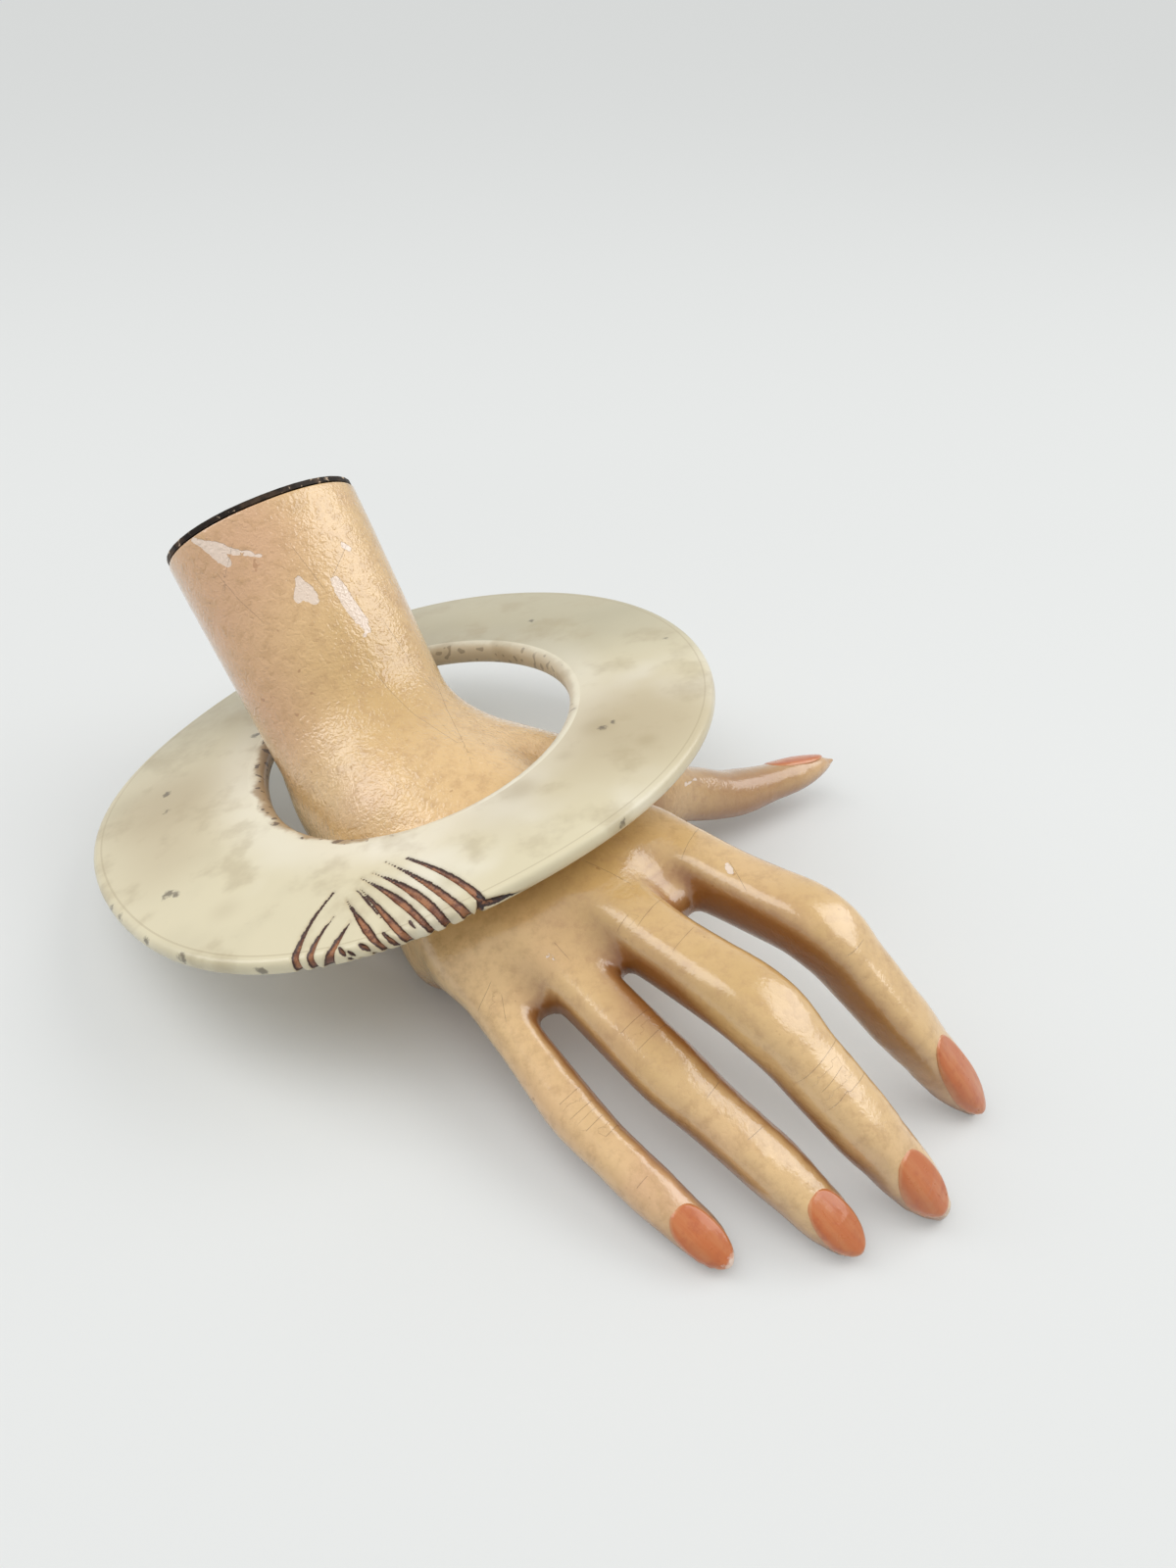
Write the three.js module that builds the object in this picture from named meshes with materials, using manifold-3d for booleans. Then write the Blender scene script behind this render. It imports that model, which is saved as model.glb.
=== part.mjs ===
// A life-size display hand, palm down, with a wide disc bangle lying loose round its wrist.
// The hand is one moulded casting over five armature wires, which are driven into a wooden plug
// in the wrist. A blackened steel plate with a keyhole closes the wrist, held by three screws.
// Millimetres, +Z up. The hand rests on the table plane z = 0 on its heel and its fingertips.
import * as THREE from 'three';
import { mergeVertices } from 'three/addons/utils/BufferGeometryUtils.js';
import Module from 'manifold-3d';

const wasm = await Module();
wasm.setup();

// Driving dimensions

// Clearance between two pieces that are seated against each other
const FIT_GAP = 0.3;

// Joint centres of each finger: knuckle, middle joint, end joint, tip. Its sections are scaled by
// the three sizes at the knuckle, the middle joint and the tip
const FINGERS = {
  index: {
    joints: [[37.4, -17.9, 32.5], [68.3, -46.1, 37.2], [84.9, -56.9, 21.5], [102.6, -64.8, 2.2]],
    back: [0.05, 0.02, 1],
    sizes: [1, 1, 1],
    knuckle: 9.5,
  },
  middle: {
    joints: [[22.6, -33.5, 31.5], [54.5, -65.9, 33.7], [72.8, -80.4, 18.9], [89.6, -89.4, 2.2]],
    back: [-0.05, 0, 1],
    sizes: [1.02, 1.02, 1.02],
    knuckle: 10,
  },
  ring: {
    joints: [[9.2, -39.9, 27.1], [36.3, -70.8, 21.1], [55.2, -85.8, 13.5], [71.8, -97.3, 2.3]],
    back: [-0.15, -0.02, 1],
    sizes: [0.98, 0.87, 0.97],
    knuckle: 9.5,
  },
  little: {
    joints: [[-4.9, -45.4, 23.2], [18.1, -75, 12.8], [32.2, -88.7, 9.2], [47.2, -99.9, 2.5]],
    back: [-0.25, -0.05, 1],
    sizes: [0.7, 0.7, 0.86],
    knuckle: 8.5,
  },
};

// Finger section at stations along the joints: position (0 is the knuckle, 3 the tip),
// half width, half height towards the back of the hand, half height towards the palm
const FINGER_SECTIONS = [
  [0, 7.5, 7.9, 8.6],
  [0.5, 7.1, 6.7, 7.9],
  [1, 7.8, 7, 7.4],
  [1.5, 6.7, 5.9, 7.2],
  [2, 6.5, 5.4, 6.9],
  [2.45, 5.7, 4.6, 5.8],
  [3, 2.2, 1.8, 2.2],
];

// Thumb: base in the palm, knuckle, joint, tip, with its sections
const THUMB_JOINTS = [[-14.1, 25, 25.5], [30.9, 14.5, 25], [58.5, 28.9, 12.6], [88.3, 44.8, 11.6]];
const THUMB_SECTIONS = [
  [0, 15, 13.5, 13],
  [1, 10, 10, 10],
  [1.6, 7.4, 6.6, 7.6],
  [2, 7.2, 5.6, 7],
  [2.45, 5.8, 4.2, 5.6],
  [3, 1.5, 1.2, 1.4],
];
const THUMB_BACK = [0.1, 0.5, 0.85];

// Back of the hand, seen from the palm outwards
const HAND_UP = [-0.16, -0.05, 0.98];
const CARPUS = [-28, 15.4, 28.8];
const CARPUS_SECTION = [12, 11.5, 14];

// A palm bone stops short of its knuckle, where it is this tall towards the back of the hand
const PALM_BONE_SHARE = 0.86;
const PALM_BONE_TALL = 8.5;

// Flesh between neighbouring palm bones: how far its end lies below theirs, and its section
const BACK_DROP = 0.6;
const BACK_END_SECTION = [9.5, 8, 10];
const HEEL_LINE = [[-33.5, 15.4, 15], [-11.7, -27, 14]];
const HEEL_SECTIONS = [[0, 13.5, 13, 15.6], [1, 10, 10, 12]];

// Forearm stub: where it leaves the palm, the wrist, and the middle of its cut end
const PALM_ROOT = [-20.7, 3.8, 26.2];
const WRIST = [-32.1, 23.3, 25.4];
const ARM_END = [-63.6, 60.9, 75.4];
const ARM_BACK = [0.2, -0.6, 0.75];
const ARM_SECTIONS = [[0, 22.5, 15, 16], [1, 23.8, 17.5, 16.5], [2, 25.6, 22, 21]];

// Share of the stub's length that is drawn past its end, and then cut off
const ARM_BEYOND = 0.12;

// Exponent of the section curve: 2 is an ellipse, more is squarer
const FINGER_EXPONENT = 2.4;
const THUMB_EXPONENT = 2.3;
const ARM_EXPONENT = 2.2;
const ROUND_EXPONENT = 2;

// Exponent of the curve that a fingertip narrows by
const TIP_EXPONENT = 2.2;

// Webs between neighbouring fingers: how far each reaches along the first finger bone, how far it
// lies below the bones at its root and its end, and its section
const WEB_REACH = [0.26, 0.26, 0.27];
const WEB_DROP = [1.2, 3.6];
const WEB_SECTIONS = [[0, 8, 6.8, 6], [1, 5.6, 5, 5]];

// Where limbs meet: width of the blend into what is drawn before
const BLEND = { palm: 9, back: 4, arm: 12, thumb: 9, web: 6, finger: 2.5 };

// Where a limb bends: length of each leg that is rounded off
const BEND = { arm: 22, thumb: 8, finger: 7, wire: 7 };

// Size of the surface facets: along the hand, across it, upwards. They are finer at the
// fingertips, from this far along the hand and up to this height
const FACET = [4.9, 3.8, 3.8];
const TIP_FACET = [3.2, 3.8, 2.6];
const TIPS_FROM = 95;
const TIPS_BELOW = 12;
const TABLE = 0;

// Bangle: a turned disc, thicker at its hole than at its rim
const BANGLE_RADIUS = 79.3;
const BANGLE_HOLE_RADIUS = 42;
const BANGLE_HOLE_THICKNESS = 6.2;
const BANGLE_RIM_THICKNESS = 3.8;
const BANGLE_CROWN = 0.5;
const BANGLE_CENTRE = [-26.8, 21.7, 34.1];
const BANGLE_AXIS = [-0.247, 0.08, 0.966];

// The disc is cut by hand, a little out of round: waves on its rim and on its hole, each with its
// order and its cosine and sine parts
const BANGLE_RIM_WAVES = [[2, -0.4, 0.1], [3, 0.7, -0.5], [4, 1, -0.4], [5, -0.6, -0.2]];
const BANGLE_HOLE_WAVES = [[1, 3.7, 1.5], [2, -1.8, -1.9], [3, 0.5, 0.5]];
const BANGLE_SIDES = 60;

// Wrist fitting
const PLATE_THICKNESS = 1.6;
const PLATE_INSET = 0.3;
const PLUG_SHARE = 0.66;
const PLUG_DEPTH = 32;
const KEYHOLE_ROUND = 6;
const KEYHOLE_SLOT = 3;
const KEYHOLE_LENGTH = 12;
const KEYHOLE_POCKET = 9;
const POCKET_MARGIN = 2;
const SCREW_CIRCLE = 0.5;
const SCREW_PLACES = [270, 30, 150];
const SCREW_HEAD_RADIUS = 3.2;
const SCREW_HEAD_EDGE = 0.4;
const SCREW_SHANK_RADIUS = 1.5;
const SCREW_LENGTH = 13;
const SCREW_POINT = 3;
const SCREW_POINT_SHARE = 0.3;
const SCREW_SUNK = 0.1;
const SCREW_SIDES = 12;
const PLUG_SIDES = 28;
const PLATE_SIDES = 40;

// How far a cutting tool stands out of what it cuts
const TOOL_MARGIN = 5;

// Armature wires
const WIRE_RADIUS = 1.5;
const WIRE_SIDES = 6;
const WIRE_STEP = 9;
const WIRE_INTO_PLUG = 12;
const WIRE_SPACING = 5.2;
const WIRE_TIP_SHARE = 0.25;

// The wires fan out a little where they pass the wrist, and run straight out of the plug
const WIRE_FAN = 1.1;
const WIRE_LEAD = 4;
const BORE_CLEARANCE = 0.35;

const COLOURS = {
  flesh: 0xdcb78a,
  cream: 0xe0dbc8,
  wood: 0xa9815a,
  blackSteel: 0x2c2723,
  steel: 0x8f8f8c,
};

const vec = (p) => new THREE.Vector3(...p);

// Limbs: a path with a section that changes along it

// Most of a leg that one of its corners may take up
const LEG_LIMIT = 0.45;

// The corners of a joint line are rounded off with parabolas
function roundedPath(points, bend) {
  const path = new THREE.CurvePath();
  let from = points[0];
  for (let i = 1; i < points.length - 1; i += 1) {
    const corner = points[i];
    const before = points[i - 1].clone().sub(corner);
    const after = points[i + 1].clone().sub(corner);
    const shareOf = (leg) => Math.min(bend / leg.length(), LEG_LIMIT);
    const start = corner.clone().addScaledVector(before, shareOf(before));
    const stop = corner.clone().addScaledVector(after, shareOf(after));
    path.add(new THREE.LineCurve3(from, start));
    path.add(new THREE.QuadraticBezierCurve3(start, corner, stop));
    from = stop;
  }
  path.add(new THREE.LineCurve3(from, points[points.length - 1]));
  return path;
}

const smoothStep = (x) => x * x * (3 - 2 * x);

// Section radii at position u: eased between stations, and rounded off towards a pointed tip
function sectionAt(sections, u, pointed) {
  let i = 0;
  while (i < sections.length - 2 && u >= sections[i + 1][0]) i += 1;
  const [a, b] = [sections[i], sections[i + 1]];
  const x = THREE.MathUtils.clamp((u - a[0]) / (b[0] - a[0]), 0, 1);
  const last = i === sections.length - 2;
  const weight = pointed && last ? x ** TIP_EXPONENT : smoothStep(x);
  return [1, 2, 3].map((k) => a[k] + (b[k] - a[k]) * weight);
}

// A limb is cut into straight pieces about half this long
const LIMB_STEP = 6;

// Beyond this distance outside its blend a limb isn't felt
const LIMB_MARGIN = 5;

function makeLimb({ joints, bend = 0, sections, back, exponent, blend, pointed = false }) {
  const points = joints.map(vec);
  const path = roundedPath(points, bend);
  const lengths = [0];
  for (let i = 1; i < points.length; i += 1) {
    lengths.push(lengths[i - 1] + points[i].distanceTo(points[i - 1]));
  }
  const total = lengths[lengths.length - 1];
  const jointPosition = (share) => {
    const at = share * total;
    let i = 0;
    while (i < lengths.length - 2 && at > lengths[i + 1]) i += 1;
    return i + (at - lengths[i]) / (lengths[i + 1] - lengths[i]);
  };
  const count = Math.ceil(path.getLength() / LIMB_STEP) * 2;
  const stations = [];
  for (let i = 0; i <= count; i += 1) {
    const share = i / count;
    stations.push({
      point: path.getPointAt(share),
      radii: sectionAt(sections, jointPosition(share), pointed),
    });
  }
  const up = vec(back).normalize();
  const pieces = [];
  for (let i = 0; i < count; i += 1) {
    const [from, to] = [stations[i], stations[i + 1]];
    const along = to.point.clone().sub(from.point);
    const length = along.length();
    along.normalize();
    const side = along.clone().cross(up).normalize();
    const top = side.clone().cross(along);
    pieces.push({ start: from.point, along, length, side, top, from: from.radii, to: to.radii });
  }
  const reach = Math.max(...sections.map((s) => Math.max(s[1], s[2], s[3]))) + blend + LIMB_MARGIN;
  const box = new THREE.Box3().setFromPoints(stations.map((s) => s.point)).expandByScalar(reach);
  return { pieces, box, exponent, blend };
}

// Distance to one straight piece of a limb: the section is a rounded square whose lower half
// may be deeper than its upper half, closed at both ends by a cap of the same curve
function pieceDistance(piece, exponent, p, d) {
  d.subVectors(p, piece.start);
  const w = d.dot(piece.along);
  const t = THREE.MathUtils.clamp(w / piece.length, 0, 1);
  const side = piece.from[0] + (piece.to[0] - piece.from[0]) * t;
  const v = d.dot(piece.top);
  const k = v > 0 ? 1 : 2;
  const tall = piece.from[k] + (piece.to[k] - piece.from[k]) * t;
  const cap = Math.min(side, tall);
  const x = Math.abs(d.dot(piece.side)) / side;
  const y = Math.abs(v) / tall;
  const z = Math.abs(w - t * piece.length) / cap;
  const level = (x ** exponent + y ** exponent + z ** exponent) ** (1 / exponent);
  const round = Math.hypot(x, y, z);
  if (round < 1e-6) return -cap;
  const slope = Math.hypot(x / side, y / tall, z / cap);
  return ((level - 1) * round) / slope;
}

// Smooth union of two distances, with a fillet of about a quarter of the blend
function smoothUnion(a, b, blend) {
  const h = Math.max(blend - Math.abs(a - b), 0) / blend;
  return Math.min(a, b) - (h * h * blend) / 4;
}

const FAR = 50;

function handField(limbs) {
  const d = new THREE.Vector3();
  return (p) => {
    let field = FAR;
    for (const limb of limbs) {
      if (!limb.box.containsPoint(p)) continue;
      let nearest = FAR * 10;
      for (const piece of limb.pieces) {
        nearest = Math.min(nearest, pieceDistance(piece, limb.exponent, p, d));
      }
      field = smoothUnion(field, nearest, limb.blend);
    }
    return field;
  };
}

// Scale of a finger's section at station u, linear between its knuckle, middle joint and tip
function sizeAt([root, middle, tip], u) {
  return u < 1
    ? THREE.MathUtils.lerp(root, middle, u)
    : THREE.MathUtils.mapLinear(u, 1, 3, middle, tip);
}

// The hand's limbs, in the order they blend: palm bones and the flesh between them, heel,
// forearm, thumb, webs and fingers
function handLimbs() {
  const limbs = [];
  const names = Object.keys(FINGERS);
  for (const { joints, knuckle } of Object.values(FINGERS)) {
    const end = vec(CARPUS).lerp(vec(joints[0]), PALM_BONE_SHARE);
    limbs.push(makeLimb({
      joints: [CARPUS, end.toArray()],
      sections: [[0, ...CARPUS_SECTION], [1, knuckle, PALM_BONE_TALL, knuckle + 1.5]],
      back: HAND_UP,
      exponent: FINGER_EXPONENT,
      blend: BLEND.palm,
    }));
  }
  for (let i = 0; i < names.length - 1; i += 1) {
    const [a, b] = [FINGERS[names[i]].joints, FINGERS[names[i + 1]].joints];
    const knuckles = vec(a[0]).lerp(vec(b[0]), 0.5);
    const end = vec(CARPUS).lerp(knuckles, PALM_BONE_SHARE);
    end.z -= BACK_DROP;
    limbs.push(makeLimb({
      joints: [CARPUS, end.toArray()],
      sections: [[0, ...CARPUS_SECTION], [1, ...BACK_END_SECTION]],
      back: HAND_UP,
      exponent: FINGER_EXPONENT,
      blend: BLEND.back,
    }));
  }
  limbs.push(makeLimb({
    joints: HEEL_LINE,
    sections: HEEL_SECTIONS,
    back: HAND_UP,
    exponent: FINGER_EXPONENT,
    blend: BLEND.palm,
  }));
  const past = vec(ARM_END).sub(vec(WRIST));
  const beyond = vec(ARM_END).addScaledVector(past, ARM_BEYOND).toArray();
  limbs.push(makeLimb({
    joints: [PALM_ROOT, WRIST, beyond],
    bend: BEND.arm,
    sections: ARM_SECTIONS,
    back: ARM_BACK,
    exponent: ARM_EXPONENT,
    blend: BLEND.arm,
  }));
  limbs.push(makeLimb({
    joints: THUMB_JOINTS,
    bend: BEND.thumb,
    sections: THUMB_SECTIONS,
    back: THUMB_BACK,
    exponent: THUMB_EXPONENT,
    blend: BLEND.thumb,
    pointed: true,
  }));
  for (let i = 0; i < names.length - 1; i += 1) {
    const [a, b] = [FINGERS[names[i]].joints, FINGERS[names[i + 1]].joints];
    const root = vec(a[0]).lerp(vec(b[0]), 0.5);
    const reachA = vec(a[0]).lerp(vec(a[1]), WEB_REACH[i]);
    const reachB = vec(b[0]).lerp(vec(b[1]), WEB_REACH[i]);
    const end = reachA.lerp(reachB, 0.5);
    root.z -= WEB_DROP[0];
    end.z -= WEB_DROP[1];
    limbs.push(makeLimb({
      joints: [root.toArray(), end.toArray()],
      sections: WEB_SECTIONS,
      back: HAND_UP,
      exponent: ROUND_EXPONENT,
      blend: BLEND.web,
    }));
  }
  for (const { joints, back, sizes } of Object.values(FINGERS)) {
    limbs.push(makeLimb({
      joints,
      bend: BEND.finger,
      sections: FINGER_SECTIONS.map(
        ([u, ...radii]) => [u, ...radii.map((r) => r * sizeAt(sizes, u))],
      ),
      back,
      exponent: FINGER_EXPONENT,
      blend: BLEND.finger,
      pointed: true,
    }));
  }
  return limbs;
}

// Surface of a field: one vertex for each sheet of surface in a grid cell, at the mean of its
// crossings, and one quad across every grid edge that the surface crosses. The vertices are drawn
// onto the surface and evened out along it. The corners of a cell are numbered by their three bits
const CELL_CORNERS = [0, 1, 2, 3, 4, 5, 6, 7].map((i) => [i & 1, (i >> 1) & 1, (i >> 2) & 1]);
const CELL_EDGES = [];
const EDGE_BETWEEN = CELL_CORNERS.map(() => []);
for (let a = 0; a < 8; a += 1) {
  for (let bit = 1; bit < 8; bit *= 2) {
    const b = a | bit;
    if (a === b) continue;
    EDGE_BETWEEN[a][b] = CELL_EDGES.length;
    EDGE_BETWEEN[b][a] = CELL_EDGES.length;
    CELL_EDGES.push([a, b]);
  }
}
const CELL_FACES = [1, 2, 4].flatMap((bit) => {
  const [u, v] = [1, 2, 4].filter((other) => other !== bit);
  return [0, bit].map((low) => [low, low + u, low + u + v, low + v]);
});

// Sheets of surface in a cell with this pattern of inside corners, each a list of crossed edges.
// Edges belong to one sheet where they bound the same run of inside corners round a face
function sheetsOf(pattern) {
  const inside = (corner) => ((pattern >> corner) & 1) === 1;
  const crossed = CELL_EDGES.map((_, edge) => edge)
    .filter((edge) => inside(CELL_EDGES[edge][0]) !== inside(CELL_EDGES[edge][1]));
  const label = CELL_EDGES.map((_, edge) => edge);
  for (const ring of CELL_FACES) {
    const corner = (i) => ring[i % 4];
    for (let i = 0; i < 4; i += 1) {
      if (inside(corner(i)) || !inside(corner(i + 1))) continue;
      let j = i + 1;
      while (inside(corner(j + 1))) j += 1;
      const from = label[EDGE_BETWEEN[corner(i)][corner(i + 1)]];
      const to = label[EDGE_BETWEEN[corner(j)][corner(j + 1)]];
      label.forEach((value, edge) => { if (value === from) label[edge] = to; });
    }
  }
  const labels = [...new Set(crossed.map((edge) => label[edge]))];
  return labels.map((value) => crossed.filter((edge) => label[edge] === value));
}

// Slope of the field, measured over a short reach, and a few damped Newton steps along it
const SLOPE_REACH = 0.15;
const DRAW_PASSES = 2;
const DRAW_DAMPING = 0.9;
const LEAST_STEEPNESS = 0.25;

function slopeAt(point, field) {
  const probe = new THREE.Vector3();
  return vec([0, 1, 2].map((axis) => {
    probe.copy(point).setComponent(axis, point.getComponent(axis) + SLOPE_REACH);
    const above = field(probe);
    probe.setComponent(axis, point.getComponent(axis) - SLOPE_REACH);
    return (above - field(probe)) / (2 * SLOPE_REACH);
  }));
}

function drawOntoSurface(point, field) {
  for (let pass = 0; pass < DRAW_PASSES; pass += 1) {
    const slope = slopeAt(point, field);
    const steepness = Math.max(slope.lengthSq(), LEAST_STEEPNESS);
    point.addScaledVector(slope, (-DRAW_DAMPING * field(point)) / steepness);
  }
}

// Even facets: each vertex slides along the surface, a share of the way to the mean of its
// neighbours
const EVEN_PASSES = 3;
const EVEN_SHARE = 0.6;

function evenOut(points, quads, field) {
  const neighbours = points.map(() => new Set());
  for (const quad of quads) {
    quad.forEach((a, i) => {
      const b = quad[(i + 1) % 4];
      neighbours[a].add(b);
      neighbours[b].add(a);
    });
  }
  for (let pass = 0; pass < EVEN_PASSES; pass += 1) {
    const means = neighbours.map((around) => {
      const mean = new THREE.Vector3();
      for (const b of around) mean.addScaledVector(points[b], 1 / around.size);
      return mean;
    });
    points.forEach((point, a) => {
      const outwards = slopeAt(point, field).normalize();
      const shift = means[a].sub(point);
      shift.addScaledVector(outwards, -shift.dot(outwards));
      point.addScaledVector(shift, EVEN_SHARE);
      drawOntoSurface(point, field);
    });
  }
}

// Place between two planes of a grid, from a plane number with a fraction
function between(planes, at) {
  const i = Math.min(Math.floor(at), planes.length - 2);
  return THREE.MathUtils.lerp(planes[i], planes[i + 1], at - i);
}

function surfaceOf(field, frame, planes) {
  const [nx, ny, nz] = planes.map((row) => row.length);
  const place = (...at) => vec(at.map((value, axis) => between(planes[axis], value)))
    .applyMatrix4(frame);
  const values = new Float32Array(nx * ny * nz);
  const at = (i, j, k) => (k * ny + j) * nx + i;
  for (let k = 0; k < nz; k += 1) {
    for (let j = 0; j < ny; j += 1) {
      for (let i = 0; i < nx; i += 1) values[at(i, j, k)] = field(place(i, j, k));
    }
  }
  const vertexOf = new Int32Array(values.length * CELL_EDGES.length);
  const points = [];
  const sheets = Array.from({ length: 256 }, (_, pattern) => sheetsOf(pattern));
  for (let k = 0; k < nz - 1; k += 1) {
    for (let j = 0; j < ny - 1; j += 1) {
      for (let i = 0; i < nx - 1; i += 1) {
        const corner = CELL_CORNERS.map(([a, b, c]) => values[at(i + a, j + b, k + c)]);
        const pattern = corner.reduce((sum, value, bit) => sum + (value < 0 ? 1 << bit : 0), 0);
        for (const edges of sheets[pattern]) {
          const mean = new THREE.Vector3();
          for (const edge of edges) {
            const [a, b] = CELL_EDGES[edge];
            const share = corner[a] / (corner[a] - corner[b]);
            const crossing = vec(CELL_CORNERS[a]).lerp(vec(CELL_CORNERS[b]), share);
            mean.addScaledVector(crossing, 1 / edges.length);
            vertexOf[at(i, j, k) * CELL_EDGES.length + edge] = points.length;
          }
          points.push(place(i + mean.x, j + mean.y, k + mean.z));
        }
      }
    }
  }
  const quads = [];
  const axes = [[1, 0, 0], [0, 1, 0], [0, 0, 1]];
  for (let k = 1; k < nz - 1; k += 1) {
    for (let j = 1; j < ny - 1; j += 1) {
      for (let i = 1; i < nx - 1; i += 1) {
        for (let axis = 0; axis < 3; axis += 1) {
          const [a, b, c] = axes[axis];
          const inside = values[at(i, j, k)] < 0;
          if (inside === (values[at(i + a, j + b, k + c)] < 0)) continue;
          const u = axes[(axis + 1) % 3];
          const v = axes[(axis + 2) % 3];
          const cell = (p, q) => {
            const back = [0, 1, 2].map((bit) => p * u[bit] + q * v[bit]);
            const start = back[0] + 2 * back[1] + 4 * back[2];
            const home = at(i - back[0], j - back[1], k - back[2]);
            return vertexOf[home * CELL_EDGES.length + EDGE_BETWEEN[start][start | (1 << axis)]];
          };
          const quad = [cell(0, 0), cell(1, 0), cell(1, 1), cell(0, 1)];
          if (!inside) quad.reverse();
          quads.push(quad);
        }
      }
    }
  }
  for (const point of points) drawOntoSurface(point, field);
  evenOut(points, quads, field);
  const indices = quads.flatMap((quad) => {
    const [p0, p1, p2, p3] = quad.map((index) => points[index]);
    const cutFirst = p0.distanceTo(p2) <= p1.distanceTo(p3);
    const [q0, q1, q2, q3] = cutFirst ? quad : [quad[1], quad[2], quad[3], quad[0]];
    return [q0, q1, q2, q0, q2, q3];
  });
  return new THREE.BufferGeometry().setFromPoints(points).setIndex(indices);
}

// Solids: booleans on closed meshes

function solidOf(geometry, matrix = new THREE.Matrix4()) {
  const bare = geometry.clone().applyMatrix4(matrix);
  for (const name of ['normal', 'uv']) bare.deleteAttribute(name);
  const merged = mergeVertices(bare, 1e-4);
  return new wasm.Manifold(new wasm.Mesh({
    numProp: 3,
    vertProperties: new Float32Array(merged.attributes.position.array),
    triVerts: new Uint32Array(merged.index.array),
  }));
}

function geometryOf(solid) {
  const mesh = solid.getMesh();
  const geometry = new THREE.BufferGeometry();
  geometry.setAttribute('position', new THREE.BufferAttribute(mesh.vertProperties, 3));
  geometry.setIndex(new THREE.BufferAttribute(mesh.triVerts, 1));
  geometry.computeVertexNormals();
  return geometry;
}

// Frame of the forearm stub: its end is the plane z = 0, with +Z out of the cut end, X across the
// wrist and Y towards the back of the hand
const armAxis = vec(ARM_END).sub(vec(WRIST)).normalize();
const armSide = vec(ARM_BACK).cross(armAxis).normalize();
const armTop = armAxis.clone().cross(armSide);
const armFrame = new THREE.Matrix4().makeBasis(armSide, armTop, armAxis).setPosition(vec(ARM_END));

// A point given in the frame of the stub
const onArm = (x, y, z) => new THREE.Vector3(x, y, z).applyMatrix4(armFrame);

// Outline of the stub's cut end, scaled and drawn in by an inset
function endOutline(share, inset, sides) {
  const [, wide, top, bottom] = ARM_SECTIONS[2];
  const points = [];
  for (let i = 0; i < sides; i += 1) {
    const angle = (2 * Math.PI * i) / sides;
    const [c, s] = [Math.cos(angle), Math.sin(angle)];
    const tall = s > 0 ? top : bottom;
    const power = 2 / ARM_EXPONENT;
    points.push(new THREE.Vector2(
      Math.sign(c) * Math.abs(c) ** power * (wide * share - inset),
      Math.sign(s) * Math.abs(s) ** power * (tall * share - inset),
    ));
  }
  return new THREE.Shape(points);
}

// A prism in the frame of the stub, from one height to another
function armPrism(shape, bottom, top, curveSegments = 8) {
  const geometry = new THREE.ExtrudeGeometry(shape, {
    depth: top - bottom, bevelEnabled: false, curveSegments,
  });
  geometry.translate(0, 0, bottom);
  return solidOf(geometry, armFrame);
}

function keyholeShape(grow) {
  const shape = new THREE.Shape();
  const round = KEYHOLE_ROUND + grow;
  const slot = KEYHOLE_SLOT + grow;
  const neck = Math.asin(slot / round);
  shape.absarc(0, 0, round, Math.PI / 2 + neck, Math.PI / 2 - neck + 2 * Math.PI, false);
  shape.absarc(0, KEYHOLE_LENGTH, slot, 0, Math.PI, false);
  shape.closePath();
  return shape;
}

// Positions of the plate screws on the end of the stub
const screwPlaces = SCREW_PLACES.map((degrees) => {
  const angle = THREE.MathUtils.degToRad(degrees);
  const [, wide, top] = ARM_SECTIONS[2];
  return [Math.cos(angle) * wide * SCREW_CIRCLE, Math.sin(angle) * top * SCREW_CIRCLE];
});

// Turned screw outline: a countersunk head over a shank, grown for its hole
function screwProfile(grow, top) {
  const head = SCREW_HEAD_RADIUS + grow;
  const shank = SCREW_SHANK_RADIUS + grow;
  const cone = SCREW_HEAD_RADIUS - SCREW_SHANK_RADIUS;
  return new THREE.LatheGeometry([
    new THREE.Vector2(0, -SCREW_LENGTH - 2 * grow),
    new THREE.Vector2(shank * SCREW_POINT_SHARE, -SCREW_LENGTH - grow),
    new THREE.Vector2(shank, -SCREW_LENGTH + SCREW_POINT),
    new THREE.Vector2(shank, -cone - SCREW_HEAD_EDGE),
    new THREE.Vector2(head, -SCREW_HEAD_EDGE),
    new THREE.Vector2(head, top),
    new THREE.Vector2(0, top),
  ], SCREW_SIDES);
}

function screwMatrix([x, y], height) {
  const upright = new THREE.Matrix4().makeRotationX(Math.PI / 2);
  const place = new THREE.Matrix4().makeTranslation(x, y, height);
  return armFrame.clone().multiply(place).multiply(upright);
}

// Armature wires run from the plug through the wrist into each finger
const WIRE_ROUTES = {
  thumb: { slot: 2, drop: -5, joints: THUMB_JOINTS.slice(1) },
  index: { slot: 1, drop: 0, joints: FINGERS.index.joints },
  middle: { slot: 0, drop: 0, joints: FINGERS.middle.joints },
  ring: { slot: -1, drop: 0, joints: FINGERS.ring.joints },
  little: { slot: -2, drop: 0, joints: FINGERS.little.joints },
};

function wirePath({ slot, drop, joints }) {
  const across = -slot * WIRE_SPACING;
  const plugEnd = -PLATE_THICKNESS - PLUG_DEPTH;
  const points = [
    onArm(across, drop, plugEnd + WIRE_INTO_PLUG),
    onArm(across, drop, plugEnd - WIRE_LEAD),
    vec(WRIST).addScaledVector(armSide, across * WIRE_FAN).addScaledVector(armTop, drop),
    ...joints.slice(0, -1).map(vec),
  ];
  const tip = vec(joints[joints.length - 1]);
  points.push(points[points.length - 1].clone().lerp(tip, WIRE_TIP_SHARE));
  return roundedPath(points, BEND.wire);
}

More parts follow.
